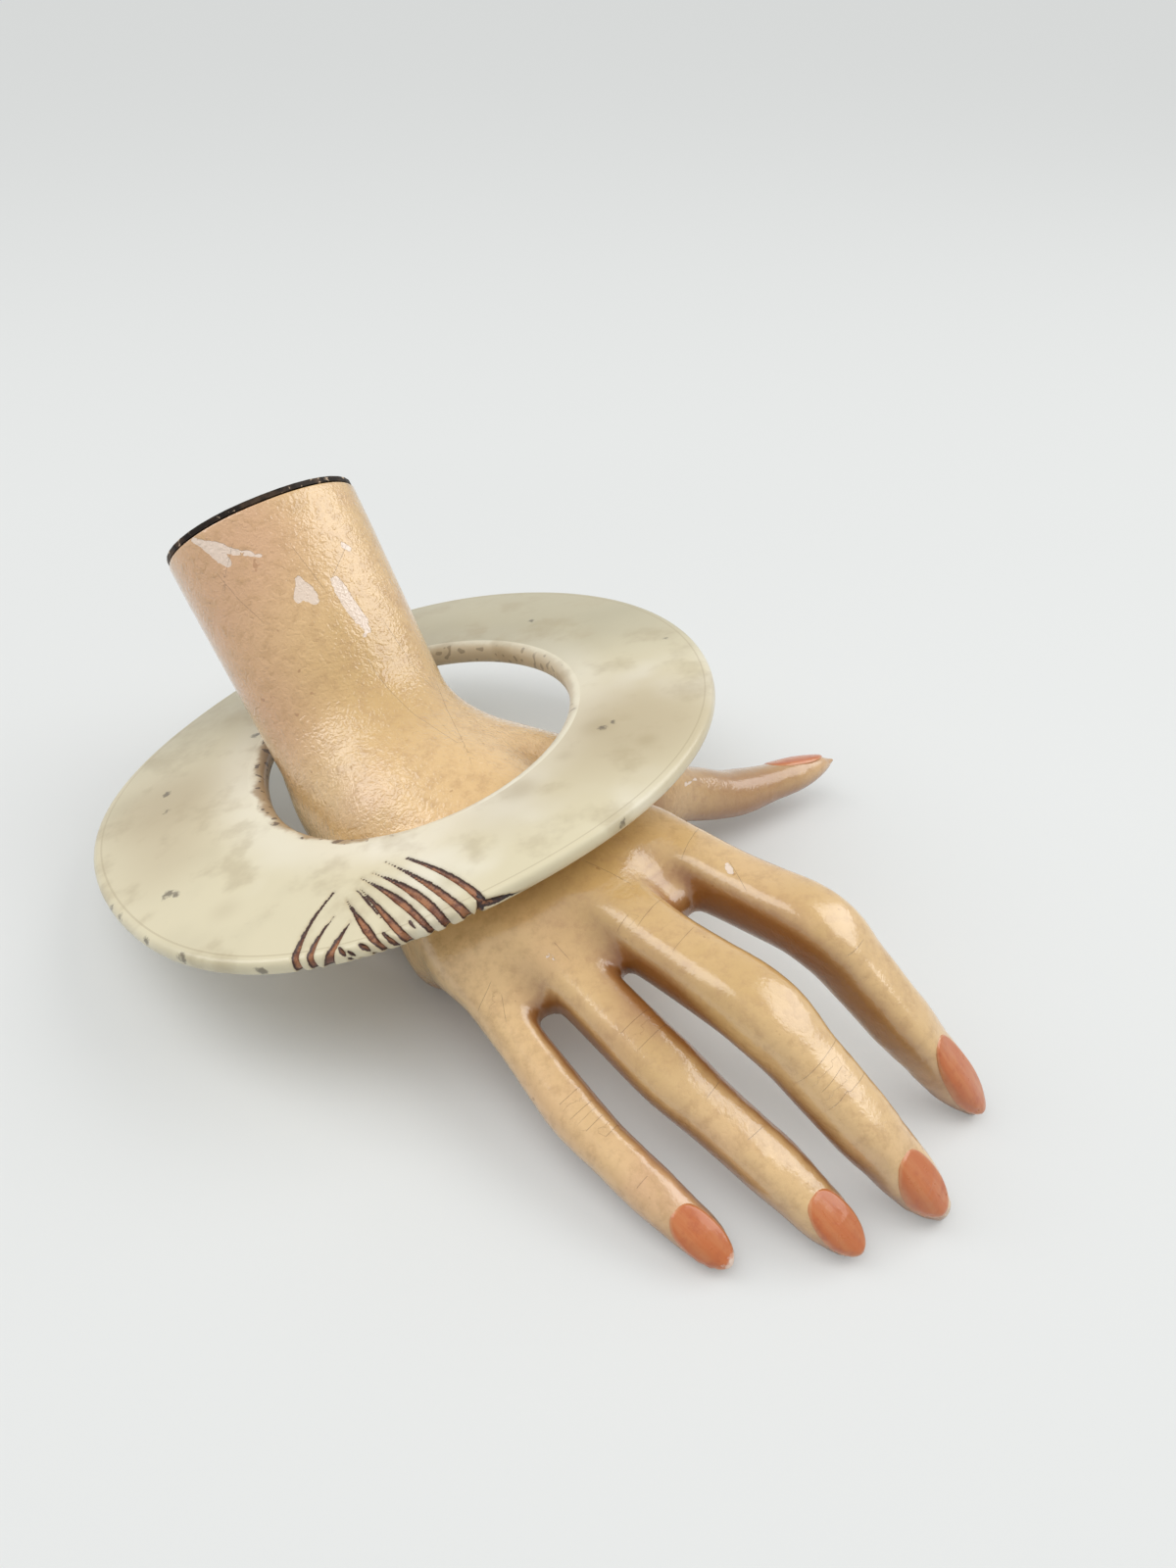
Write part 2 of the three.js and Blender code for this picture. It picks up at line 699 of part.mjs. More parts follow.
function sweptRod(path, radius) {
  const circle = new THREE.Shape().absarc(0, 0, radius, 0, 2 * Math.PI, false);
  return solidOf(new THREE.ExtrudeGeometry(circle, {
    extrudePath: path,
    steps: Math.round(path.getLength() / WIRE_STEP),
    curveSegments: WIRE_SIDES / 2,
    bevelEnabled: false,
  }));
}

const wireSolid = (route) => sweptRod(wirePath(route), WIRE_RADIUS);

// The bore that a wire lies in: the same path with clearance, and a rounded hollow at both ends
function wireBore(route) {
  const path = wirePath(route);
  const radius = WIRE_RADIUS + BORE_CLEARANCE;
  const ball = new THREE.SphereGeometry(radius + FIT_GAP, 8, 6);
  const ends = [path.getPoint(0), path.getPoint(1)].map((end) => (
    solidOf(ball, new THREE.Matrix4().makeTranslation(end.x, end.y, end.z))
  ));
  return sweptRod(path, radius).add(ends[0]).add(ends[1]);
}

const wavesAt = (waves, angle) => waves.reduce(
  (sum, [order, c, s]) => sum + c * Math.cos(order * angle) + s * Math.sin(order * angle),
  0,
);

// Frame of the bangle: Y along its axis, X as near the world's X as the disc allows
const bangleUp = vec(BANGLE_AXIS).normalize();
const bangleSide = new THREE.Vector3(1, 0, 0).addScaledVector(bangleUp, -bangleUp.x).normalize();
const bangleFrame = new THREE.Matrix4()
  .makeBasis(bangleSide, bangleUp, bangleSide.clone().cross(bangleUp))
  .setPosition(vec(BANGLE_CENTRE));

// Bangle section, turned about Y: round edges, faces that swell slightly between them
function bangleGeometry() {
  const inner = BANGLE_HOLE_THICKNESS / 2;
  const outer = BANGLE_RIM_THICKNESS / 2;
  const innerCentre = BANGLE_HOLE_RADIUS + inner;
  const outerCentre = BANGLE_RADIUS - outer;
  const middle = (innerCentre + outerCentre) / 2;
  const crown = (inner + outer) / 2 + 2 * BANGLE_CROWN;
  const section = new THREE.Path();
  section.absarc(innerCentre, 0, inner, Math.PI / 2, (3 * Math.PI) / 2, false);
  section.quadraticCurveTo(middle, -crown, outerCentre, -outer);
  section.absarc(outerCentre, 0, outer, -Math.PI / 2, Math.PI / 2, false);
  section.quadraticCurveTo(middle, crown, innerCentre, inner);
  const geometry = new THREE.LatheGeometry(section.getPoints(2), BANGLE_SIDES);
  const place = geometry.attributes.position;
  for (let i = 0; i < place.count; i += 1) {
    const [x, z] = [place.getX(i), place.getZ(i)];
    const radius = Math.hypot(x, z);
    const angle = Math.atan2(-z, x);
    const share = (radius - BANGLE_HOLE_RADIUS) / (BANGLE_RADIUS - BANGLE_HOLE_RADIUS);
    const holeShift = wavesAt(BANGLE_HOLE_WAVES, angle) * (1 - share);
    const shift = holeShift + wavesAt(BANGLE_RIM_WAVES, angle) * share;
    place.setX(i, x * (1 + shift / radius));
    place.setZ(i, z * (1 + shift / radius));
  }
  geometry.computeVertexNormals();
  return geometry;
}

// Pieces

const group = new THREE.Group();

function addPiece(name, geometry, colour, roughness, metalness = 0) {
  const material = new THREE.MeshStandardMaterial({ color: colour, roughness, metalness });
  const mesh = new THREE.Mesh(geometry, material);
  mesh.name = name;
  group.add(mesh);
  return mesh;
}

// The block removed above the cut end and under the table plane
function cutBlock(matrix) {
  const size = 300;
  const box = new THREE.BoxGeometry(size, size, size).translate(0, 0, size / 2);
  return solidOf(box, matrix);
}

// Whole hand, before its wrist is fitted out: the grid lies along the hand
const handAlong = new THREE.Vector3(0.72, -0.694, 0).normalize();
const handAcross = new THREE.Vector3(0, 0, 1).cross(handAlong);
const gridFrame = new THREE.Matrix4().makeBasis(handAlong, handAcross, new THREE.Vector3(0, 0, 1));
const GRID_LOW = [-126.9, -67.9, -8];
const GRID_SIZE = [262, 165, 124];
const isAtTips = [(x) => x > TIPS_FROM, () => false, (z) => z < TIPS_BELOW];
const gridPlanes = GRID_LOW.map((low, axis) => {
  const planes = [low];
  while (planes.at(-1) < low + GRID_SIZE[axis]) {
    const facet = isAtTips[axis](planes.at(-1)) ? TIP_FACET : FACET;
    planes.push(planes.at(-1) + facet[axis]);
  }
  return planes;
});
const handSurface = surfaceOf(handField(handLimbs()), gridFrame, gridPlanes);
const wholeHand = solidOf(handSurface);

const plateBottom = onArm(0, 0, -PLATE_THICKNESS);
const aboveEnd = cutBlock(armFrame.clone().setPosition(plateBottom));
const belowTable = cutBlock(new THREE.Matrix4().makeRotationX(Math.PI).setPosition(0, 0, TABLE));
const plugTop = -PLATE_THICKNESS - FIT_GAP;
const plugBottom = -PLATE_THICKNESS - PLUG_DEPTH;
const pocketOutline = endOutline(PLUG_SHARE, -FIT_GAP, PLUG_SIDES);
const pocket = armPrism(pocketOutline, plugBottom - FIT_GAP, TOOL_MARGIN);
let casting = wholeHand.subtract(aboveEnd).subtract(belowTable).subtract(pocket);
for (const route of Object.values(WIRE_ROUTES)) {
  casting = casting.subtract(wireBore(route));
}
addPiece('hand_casting', geometryOf(casting), COLOURS.flesh, 0.35);

let plug = armPrism(endOutline(PLUG_SHARE, 0, PLUG_SIDES), plugBottom, plugTop);
const keyholePocket = armPrism(keyholeShape(POCKET_MARGIN), plugTop - KEYHOLE_POCKET, TOOL_MARGIN);
plug = plug.subtract(keyholePocket);
for (const route of Object.values(WIRE_ROUTES)) {
  plug = plug.subtract(wireBore(route));
}
for (const place of screwPlaces) {
  plug = plug.subtract(solidOf(screwProfile(FIT_GAP, TOOL_MARGIN), screwMatrix(place, 0)));
}
addPiece('wrist_plug', geometryOf(plug), COLOURS.wood, 0.8);

let plate = armPrism(endOutline(1, PLATE_INSET, PLATE_SIDES), -PLATE_THICKNESS + FIT_GAP, 0);
plate = plate.subtract(armPrism(keyholeShape(0), -TOOL_MARGIN, TOOL_MARGIN));
for (const place of screwPlaces) {
  plate = plate.subtract(solidOf(screwProfile(FIT_GAP, TOOL_MARGIN), screwMatrix(place, 0)));
}
addPiece('wrist_plate', geometryOf(plate), COLOURS.blackSteel, 0.5, 0.9);

screwPlaces.forEach((place, i) => {
  const screw = solidOf(screwProfile(0, 0), screwMatrix(place, -SCREW_SUNK));
  addPiece(`plate_screw_${i + 1}`, geometryOf(screw), COLOURS.steel, 0.4, 1);
});

for (const [name, route] of Object.entries(WIRE_ROUTES)) {
  addPiece(`${name}_wire`, geometryOf(wireSolid(route)), COLOURS.steel, 0.5, 1);
}

const bangle = addPiece('bangle', bangleGeometry(), COLOURS.cream, 0.4);
bangle.applyMatrix4(bangleFrame);

export default group;
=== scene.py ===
# %% [markdown]
# # A display hand with a disc bangle
# A shop display hand from the middle of the last century: a life-size casting in gloss flesh
# paint, with coral nails, a forearm stub closed by a dark steel plate, and a wide cream disc
# bangle lying loose round the wrist. The CAD model gives every piece its place. This script
# gives the two big shapes their finer form, and gives every piece its finish.

import math

import bmesh
import bpy
import numpy as np
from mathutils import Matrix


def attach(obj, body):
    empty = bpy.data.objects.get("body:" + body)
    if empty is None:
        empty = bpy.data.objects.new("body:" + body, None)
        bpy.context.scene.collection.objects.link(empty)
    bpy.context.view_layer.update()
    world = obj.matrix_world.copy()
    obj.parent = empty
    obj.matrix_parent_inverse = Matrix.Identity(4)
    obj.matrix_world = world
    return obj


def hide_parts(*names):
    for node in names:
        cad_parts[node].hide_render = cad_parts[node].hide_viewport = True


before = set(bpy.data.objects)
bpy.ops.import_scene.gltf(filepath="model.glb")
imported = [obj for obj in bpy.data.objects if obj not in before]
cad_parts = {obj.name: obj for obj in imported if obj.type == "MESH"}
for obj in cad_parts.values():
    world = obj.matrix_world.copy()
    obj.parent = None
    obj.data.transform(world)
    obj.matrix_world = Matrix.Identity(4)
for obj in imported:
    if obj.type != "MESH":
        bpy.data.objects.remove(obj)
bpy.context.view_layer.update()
MM = 0.001

# %% [markdown]
# ## Camera
# The photograph was taken from above the fingertips, looking 38 degrees down the hand. A pinhole
# camera with a focal length of 1200 px stands in that place. The sensor is measured along the
# long side of the picture, so 36 mm there with a 27 mm lens gives the same view.

# %% The camera
PHOTO_CENTRE = np.array([600, 800])
FOCAL_PIXELS = 1200
LOOKS_DOWN = math.radians(38)
CAMERA_PLACE = np.array([20.5, -218.6, 209])
camera_data = bpy.data.cameras.new("camera")
camera_data.sensor_width = 36
camera_data.lens = 27
camera_data.clip_start = 0.01
camera_data.clip_end = 20
camera = bpy.data.objects.new("camera", camera_data)
camera.location = CAMERA_PLACE * MM
camera.rotation_euler = (math.pi / 2 - LOOKS_DOWN, 0, 0)
bpy.context.scene.collection.objects.link(camera)
bpy.context.scene.camera = camera
bpy.context.scene.view_settings.view_transform = "Standard"
print("camera:", CAMERA_PLACE, "mm, lens", camera_data.lens, "mm")

# %% [markdown]
# ## Colours and nodes
# Colours are written as hex values, as a paint chart gives them. The renderer adds light up, so
# it needs them linear, and one function turns them. Nodes could be placed by hand in the editor,
# but a script can be read and run again, so one more function adds a node with its settings and
# links. Old paint is many thin coats: the first colour, shading in the hollows, wear on the
# ridges, dirt. Each could be a shader of its own, which is slow, so one shader gets a colour that
# has been tinted layer by layer, each steered by one value.

# %% Colours and nodes


def hex_colour(code):
    """sRGB hex code to linear RGBA: c / 12.92 below 0.04045, else ((c + 0.055) / 1.055)^2.4."""
    parts = [int(code[k:k + 2], 16) / 255 for k in (0, 2, 4)]
    return [c / 12.92 if c <= 0.04045 else ((c + 0.055) / 1.055) ** 2.4 for c in parts] + [1.0]


def add(tree, kind, inputs=None, out=0, **settings):
    """Adds a shader node, sets its properties, fills its inputs with values or with the outputs
    of other nodes, and returns the output asked for, if it has any."""
    node = tree.nodes.new("ShaderNode" + kind)
    for name, value in settings.items():
        setattr(node, name, value)
    for key, value in (inputs or {}).items():
        if isinstance(value, bpy.types.NodeSocket):
            tree.links.new(value, node.inputs[key])
        else:
            node.inputs[key].default_value = value
    return node.outputs[out] if node.outputs else node


def new_material(name):
    """A material with an empty node tree, and that tree."""
    material = bpy.data.materials.new(name)
    material.use_nodes = True
    material.node_tree.nodes.clear()
    return material, material.node_tree


def tinted(tree, colour, layers):
    """Thin layers of colour over each other. A row holds what steers the layer, the value where
    it starts and the value where it is full, its share there, and its tint."""
    for value, start, full, share, tint in layers:
        cover = add(tree, "MapRange", {0: value, 1: start, 2: full, 4: share},
                    interpolation_type="SMOOTHSTEP")
        below, above = [hex_colour(c) if isinstance(c, str) else c for c in (colour, tint)]
        colour = add(tree, "Mix", {0: cover, 6: below, 7: above}, out=2, data_type="RGBA")
    return colour


print("half grey 808080 as light:", round(hex_colour("808080")[0], 3))

# %% [markdown]
# ## Meshes
# A finished piece is worked out in millimetres, as arrays of points and faces. It could be moved
# into place as an object, but its place belongs in its points: then each pattern stays where it
# is when the object's joints move.

# %% Putting a piece in the scene


def put_mesh(name, points_mm, faces, body, material, attributes):
    """A smooth mesh with its place in its vertices, riding on a body, and with a number stored
    on every point for each attribute."""
    mesh = bpy.data.meshes.new(name)
    rows = faces.tolist() if isinstance(faces, np.ndarray) else faces
    mesh.from_pydata((np.asarray(points_mm) * MM).tolist(), [], rows)
    mesh.update()
    mesh.polygons.foreach_set("use_smooth", np.full(len(mesh.polygons), True))
    for key, values in attributes.items():
        layer = mesh.attributes.new(key, "FLOAT", "POINT")
        layer.data.foreach_set("value", np.asarray(values, np.float32))
    mesh.materials.append(material)
    made = bpy.data.objects.new(name, mesh)
    bpy.context.scene.collection.objects.link(made)
    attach(made, body)
    print(name, len(mesh.vertices), "points,", sum(len(r) - 2 for r in rows), "triangles")
    return made


print("the scene is in metres, so 100 mm is", 100 * MM)
# %% [markdown]
# ## The hand's limbs
# The real hand is a hollow or solid casting: plaster or papier-mache composition pressed in a
# mould, so palm, fingers and wrist flow into each other with soft fillets. It could be sculpted,
# or made from tubes joined with booleans, but those leave hard seams in the webs. Here it is a
# smooth union instead. Each limb is a bent line with a rounded-square section that changes along
# it, and the distances to all limbs are melted together. The numbers are those of the CAD part,
# in millimetres, so this hand lies exactly where the solid one is.

# %% Numbers of the limbs
FINGERS = {
    "index": dict(joints=[[37.4, -17.9, 32.5], [68.3, -46.1, 37.2], [84.9, -56.9, 21.5],
                          [102.6, -64.8, 2.2]], back=[0.05, 0.02, 1], sizes=[1, 1, 1],
                  knuckle=9.5),
    "middle": dict(joints=[[22.6, -33.5, 31.5], [54.5, -65.9, 33.7], [72.8, -80.4, 18.9],
                           [89.6, -89.4, 2.2]], back=[-0.05, 0, 1], sizes=[1.02, 1.02, 1.02],
                   knuckle=10),
    "ring": dict(joints=[[9.2, -39.9, 27.1], [36.3, -70.8, 21.1], [55.2, -85.8, 13.5],
                         [71.8, -97.3, 2.3]], back=[-0.15, -0.02, 1], sizes=[0.98, 0.87, 0.97],
                 knuckle=9.5),
    "little": dict(joints=[[-4.9, -45.4, 23.2], [18.1, -75, 12.8], [32.2, -88.7, 9.2],
                           [47.2, -99.9, 2.5]], back=[-0.25, -0.05, 1],
                   sizes=[0.7, 0.7, 0.86], knuckle=8.5),
}
# Station along the joints, half width, half height to the back, half height to the palm
FINGER_SECTIONS = [[0, 7.5, 7.9, 8.6], [0.5, 7.1, 6.7, 7.9], [1, 7.8, 7, 7.4], [1.5, 6.7, 5.9, 7.2],
                   [2, 6.5, 5.4, 6.9], [2.45, 5.7, 4.6, 5.8], [3, 2.2, 1.8, 2.2]]
THUMB = dict(joints=[[-14.1, 25, 25.5], [30.9, 14.5, 25], [58.5, 28.9, 12.6], [88.3, 44.8, 11.6]],
             back=[0.1, 0.5, 0.85])
THUMB_SECTIONS = [[0, 15, 13.5, 13], [1, 10, 10, 10], [1.6, 7.4, 6.6, 7.6], [2, 7.2, 5.6, 7],
                  [2.45, 5.8, 4.2, 5.6], [3, 1.5, 1.2, 1.4]]
HAND_UP = [-0.16, -0.05, 0.98]
CARPUS = [-28, 15.4, 28.8]
CARPUS_SECTION = [0, 12, 11.5, 14]
PALM_BONE_SHARE = 0.86
PALM_BONE_TALL = 8.5
HEEL_LINE = [[-33.5, 15.4, 15], [-11.7, -27, 14]]
HEEL_SECTIONS = [[0, 13.5, 13, 15.6], [1, 10, 10, 12]]
PALM_ROOT = [-20.7, 3.8, 26.2]
WRIST = [-32.1, 23.3, 25.4]
ARM_END = [-63.6, 60.9, 75.4]
ARM_BACK = [0.2, -0.6, 0.75]
ARM_SECTIONS = [[0, 22.5, 15, 16], [1, 23.8, 17.5, 16.5], [2, 25.6, 22, 21]]
ARM_BEYOND = 0.12
ARM_EXPONENT = 2.2
WEB_REACH = [0.26, 0.26, 0.27]
WEB_DROP = [0, 1.6]
WEB_SECTIONS = [[0, 8, 7.2, 6], [1, 4.9, 4.5, 5]]
BACK_DROP = 0.6
# A finger melts softly into the palm, and sharply past this much of its first bone
FINGER_BLEND = (6, 2.2)
FINGER_EXPONENTS = (3.1, 2.4)
MELTED_TO = (0.05, 0.55)
BACK_SECTIONS = [[0, 12, 11.5, 14], [1, 9, 7.6, 9.5]]
for name, finger in FINGERS.items():
    bones = np.linalg.norm(np.diff(finger["joints"], axis=0), axis=1)
    print(name, "finger, bones of", bones.round(1), "mm")

# %% A bent line with a section that changes along it


def unit(v):
    """Vector of length one in the direction of v."""
    v = np.asarray(v, float)
    return v / np.linalg.norm(v)


def rounded_line(joints, bend, samples=40):
    """Joint line with each corner replaced by the parabola (1-t)^2 A + 2t(1-t) C + t^2 B,
    where A and B lie up to `bend` before and after the corner C."""
    joints = np.array(joints, float)
    t = np.linspace(0, 1, samples)[:, None]
    rows = [joints[:1]]
    for corner, before, after in zip(joints[1:-1], joints[:-2], joints[2:]):
        leg = [before - corner, after - corner]
        a, b = [corner + v * min(bend / np.linalg.norm(v), 0.45) for v in leg]
        rows.append((1 - t) ** 2 * a + 2 * t * (1 - t) * corner + t**2 * b)
    return np.concatenate(rows + [joints[-1:]])


def section_at(sections, u, pointed):
    """Radii at stations u: eased by 3x^2 - 2x^3 between the rows of the table. A pointed limb
    narrows by x^2.2 over its last stretch, as a fingertip does."""
    table = np.array(sections, float)
    i = np.clip(np.searchsorted(table[:, 0], u, side="right") - 1, 0, len(table) - 2)
    x = np.clip((u - table[i, 0]) / (table[i + 1, 0] - table[i, 0]), 0, 1)
    weight = x * x * (3 - 2 * x)
    if pointed:
        weight = np.where(i == len(table) - 2, x**2.2, weight)
    return table[i, 1:] + (table[i + 1, 1:] - table[i, 1:]) * weight[:, None]


def make_limb(joints, sections, back, blend, bend=0, exponents=(2.4, 2.4), pointed=False):
    """A limb as arrays: at stations 2 mm apart along its line, the point, the direction, the
    side, the top, and the radii with the blend width. Exponents are those of the back half and
    the palm half. A blend of two widths goes from one to the other along the root."""
    line = rounded_line(joints, bend) if len(joints) > 2 else np.array(joints, float)
    walked = np.concatenate([[0], np.cumsum(np.linalg.norm(np.diff(line, axis=0), axis=1))])
    count = int(np.ceil(walked[-1] / 2))
    share = np.linspace(0, 1, count + 1)
    point = np.stack([np.interp(share * walked[-1], walked, line[:, k]) for k in range(3)], 1)
    legs = np.linalg.norm(np.diff(np.array(joints, float), axis=0), axis=1)
    stations = np.interp(share * legs.sum(), np.concatenate([[0], np.cumsum(legs)]),
                         np.arange(len(joints)))
    along = np.gradient(point, axis=0)
    along /= np.linalg.norm(along, axis=1)[:, None]
    side = np.cross(along, unit(back))
    side /= np.linalg.norm(side, axis=1)[:, None]
    width = np.interp(stations, MELTED_TO, blend) if np.ndim(blend) else np.full(count + 1, blend)
    reach = np.array(sections)[:, 1:].max() + np.max(blend) + 5
    return dict(point=point, along=along, side=side, top=np.cross(side, along),
                radii=np.column_stack([section_at(sections, stations, pointed), width]),
                walked=share * walked[-1],
                box=(point.min(0) - reach, point.max(0) + reach),
                exponents=exponents)


print("a square corner becomes", len(rounded_line([[0, 0, 0], [9, 0, 0], [9, 9, 0]], 5)), "points")

# %% [markdown]
# ### Limbs and their melting together
# The limbs melt together in this order: palm bones, fillers between them, heel, forearm, thumb,
# webs, fingers. A plain union would leave a crease at each seam, so near a seam the two distances
# are drawn below their minimum, which fills it like putty smoothed with a thumb.

# %% The limbs, in the order they melt together
def mix(a, b, share):
    """Point at this share of the way from a to b."""
    return np.array(a, float) * (1 - share) + np.array(b, float) * share


def hand_limbs():
    """Palm bones, heel, forearm, thumb, webs between the fingers, and the fingers."""
    limbs = []
    for finger in FINGERS.values():
        bone_end = mix(CARPUS, finger["joints"][0], PALM_BONE_SHARE)
        thick = finger["knuckle"]
        limbs.append(make_limb([CARPUS, bone_end],
                               [CARPUS_SECTION, [1, thick, PALM_BONE_TALL, thick + 1.5]],
                               HAND_UP, blend=9))
    rows = list(FINGERS.values())
    for a, b in zip(rows[:-1], rows[1:]):
        knuckles = mix(a["joints"][0], b["joints"][0], 0.5)
        end = mix(CARPUS, knuckles, PALM_BONE_SHARE) - [0, 0, BACK_DROP]
        limbs.append(make_limb([CARPUS, end], BACK_SECTIONS, HAND_UP, blend=7))
    limbs.append(make_limb(HEEL_LINE, HEEL_SECTIONS, HAND_UP, blend=9))
    beyond = mix(WRIST, ARM_END, 1 + ARM_BEYOND)
    limbs.append(make_limb([PALM_ROOT, WRIST, beyond], ARM_SECTIONS, ARM_BACK, blend=12, bend=22,
                           exponents=(ARM_EXPONENT, ARM_EXPONENT)))
    limbs.append(make_limb(THUMB["joints"], THUMB_SECTIONS, THUMB["back"], blend=9, bend=8,
                           exponents=(2.3, 2.3), pointed=True))
    for a, b, reach in zip(rows[:-1], rows[1:], WEB_REACH):
        root = mix(a["joints"][0], b["joints"][0], 0.5) - [0, 0, WEB_DROP[0]]
        end = mix(mix(*a["joints"][:2], reach), mix(*b["joints"][:2], reach), 0.5)
        limbs.append(make_limb([root, end - [0, 0, WEB_DROP[1]]], WEB_SECTIONS, HAND_UP, blend=10,
                               exponents=(2, 2)))
    for finger in FINGERS.values():
        table = np.array(FINGER_SECTIONS)
        table[:, 1:] *= np.interp(table[:, :1], [0, 1, 3], finger["sizes"])
        limbs.append(make_limb(finger["joints"], table, finger["back"], FINGER_BLEND, bend=7,
                               exponents=FINGER_EXPONENTS, pointed=True))
    return limbs


LIMBS = hand_limbs()
print(len(LIMBS), "limbs,", sum(len(limb["point"]) for limb in LIMBS), "stations")

# %% Distance to a limb, and the melted union of all limbs


def limb_place(limb, i, ahead, p):
    """Where each point lies beside the stretch from station i to i + 1: its distance ahead of the
    plane across the limb that passes nearest to it, to the side, and towards the back, and the
    radii there."""
    g0, g1 = [np.take_along_axis(ahead, j[:, None], 1)[:, 0] for j in (i, i + 1)]
    t = np.clip(g0 / np.where(g0 - g1 > 1e-6, g0 - g1, 1e-6), 0, 1)[:, None]
    def between(key):
        return limb[key][i] * (1 - t) + limb[key][i + 1] * t
    d = p - between("point")
    return ((d * between("along")).sum(1), (d * between("side")).sum(1),
            (d * between("top")).sum(1), between("radii"))


def section_distance(limb, i, ahead, p):
    """(level - 1) |q| / |grad q|, where q is the point divided by the radii and level is
    (|x|^n + |y|^n + |z|^n)^(1/n): the distance to a rounded square, to first order. The blend
    width there comes with it."""
    w, s, v, radii = limb_place(limb, i, ahead, p)
    side = radii[:, 0]
    tall = np.where(v > 0, radii[:, 1], radii[:, 2])
    cap = np.minimum(side, tall)
    x, y, z = np.abs(s) / side, np.abs(v) / tall, np.abs(w) / cap
    n = np.where(v > 0, *limb["exponents"])
    level = (x**n + y**n + z**n) ** (1 / n)
    size = np.sqrt(x * x + y * y + z * z) + 1e-9
    slope = np.sqrt((x / side) ** 2 + (y / tall) ** 2 + (z / cap) ** 2) + 1e-9
    return np.stack([(level - 1) * size / slope, radii[:, 3]])


def nearest_station(limb, p):
    """Number of the stretch of the limb nearest to each point, and how far the point lies ahead
    of the plane across the limb at every station."""
    square = (p * p).sum(1)[:, None] - 2 * p @ limb["point"].T + (limb["point"] ** 2).sum(1)
    ahead = p @ limb["along"].T - (limb["point"] * limb["along"]).sum(1)
    i = np.argmin(square, axis=1)
    here = np.take_along_axis(ahead, i[:, None], 1)[:, 0]
    return np.clip(i - (here < 0), 0, len(limb["point"]) - 2), ahead


def limb_distance(limb, p):
    """Least distance over the nearest stretch of the limb and its two neighbours, and the blend
    width there."""
    near, ahead = nearest_station(limb, p)
    last = len(limb["point"]) - 2
    tries = np.stack([section_distance(limb, np.clip(near + k, 0, last), ahead, p)
                      for k in (-1, 0, 1)])
    best = np.argmin(tries[:, 0], axis=0)
    return np.take_along_axis(tries, best[None, None], axis=0)[0]


def hand_field(p):
    """Distance to the whole hand, below zero inside. Two distances a and b melt together as
    min(a, b) - h^2 k / 4, where h falls from 1 to 0 as |a - b| grows to the blend width k."""
    field = np.full(len(p), 50.0)
    for limb in LIMBS:
        near = ((p > limb["box"][0]) & (p < limb["box"][1])).all(1)
        if not near.any():
            continue
        d, k = limb_distance(limb, p[near])
        f = field[near]
        h = np.maximum(k - np.abs(d - f), 0) / k
        field[near] = np.minimum(d, f) - h * h * k / 4
    return field


palm_middle = mix(CARPUS, FINGERS["middle"]["joints"][0], 0.5)
print("the palm's middle lies", -hand_field(palm_middle[None]).round(1)[0], "mm under the skin")
# %% [markdown]
# ## From the distance field to a mesh
# Marching cubes would do, but it leaves slivers. Surface nets put one point in each grid cell
# that the surface crosses, and a quad over each crossed grid edge. The points are then drawn onto
# the surface along the slope of the field, evened out along it, and every quad is cut in four.

# %% Surface nets
# The grid lies along the hand: its first axis runs from wrist to middle finger
GRID_X = unit([0.72, -0.694, 0])
GRID_FRAME = np.stack([GRID_X, np.cross([0, 0, 1], GRID_X), [0, 0, 1]])
GRID_LOW = np.array([-126.9, -67.9, -8])
GRID_SIZE = np.array([262, 165, 124])


def shifted(a, steps, size):
    """Block of a that starts at the given steps and has the given size."""
    return a[tuple(slice(s, s + n) for s, n in zip(steps, size))]


def surface_nets(values, low, step):
    """Points at the mean of the crossings in each crossed cell, and a quad round every grid edge
    whose ends lie on two sides of the surface, turned so that it faces outwards."""
    inside = values < 0
    cells = np.array(values.shape) - 1
    corners = [(a, b, c) for a in (0, 1) for b in (0, 1) for c in (0, 1)]
    filled = sum(shifted(inside, corner, cells).astype(int) for corner in corners)
    place = np.argwhere((filled > 0) & (filled < 8))
    number = np.full(cells, -1)
    number[tuple(place.T)] = np.arange(len(place))
    total, hits, quads = np.zeros((len(place), 3)), np.zeros(len(place)), []
    for axis in range(3):
        u, v = (axis + 1) % 3, (axis + 2) % 3
        across = np.eye(3, dtype=int)
        for p, q in ((0, 0), (0, 1), (1, 0), (1, 1)):
            start = place + p * across[u] + q * across[v]
            a, b = values[tuple(start.T)], values[tuple((start + across[axis]).T)]
            hit = (a < 0) != (b < 0)
            point = (p * across[u] + q * across[v]).astype(float) + np.zeros((len(place), 3))
            point[:, axis] = np.where(hit, a / np.where(hit, a - b, 1), 0)
            total += point * hit[:, None]
            hits += hit
        low_end = shifted(inside, (0, 0, 0), np.array(inside.shape) - across[axis])
        high_end = shifted(inside, across[axis], np.array(inside.shape) - across[axis])
        edge = np.argwhere(low_end != high_end)
        edge = edge[(edge[:, u] > 0) & (edge[:, v] > 0)]
        ring = [number[tuple((edge - p * across[u] - q * across[v]).T)]
                for p, q in ((0, 0), (1, 0), (1, 1), (0, 1))]
        quad = np.stack(ring, 1)
        outward = inside[tuple(edge.T)]
        quads.append(np.where(outward[:, None], quad, quad[:, ::-1]))
    return (place + total / hits[:, None]) * step + low, np.concatenate(quads)


trial = np.linalg.norm(np.indices((13, 13, 13)) - 6, axis=0) - 5
trial_points, trial_quads = surface_nets(trial, np.zeros(3), 1.0)
print("a ball of radius 5 on a grid of 1:", len(trial_points), "points,", len(trial_quads), "quads")

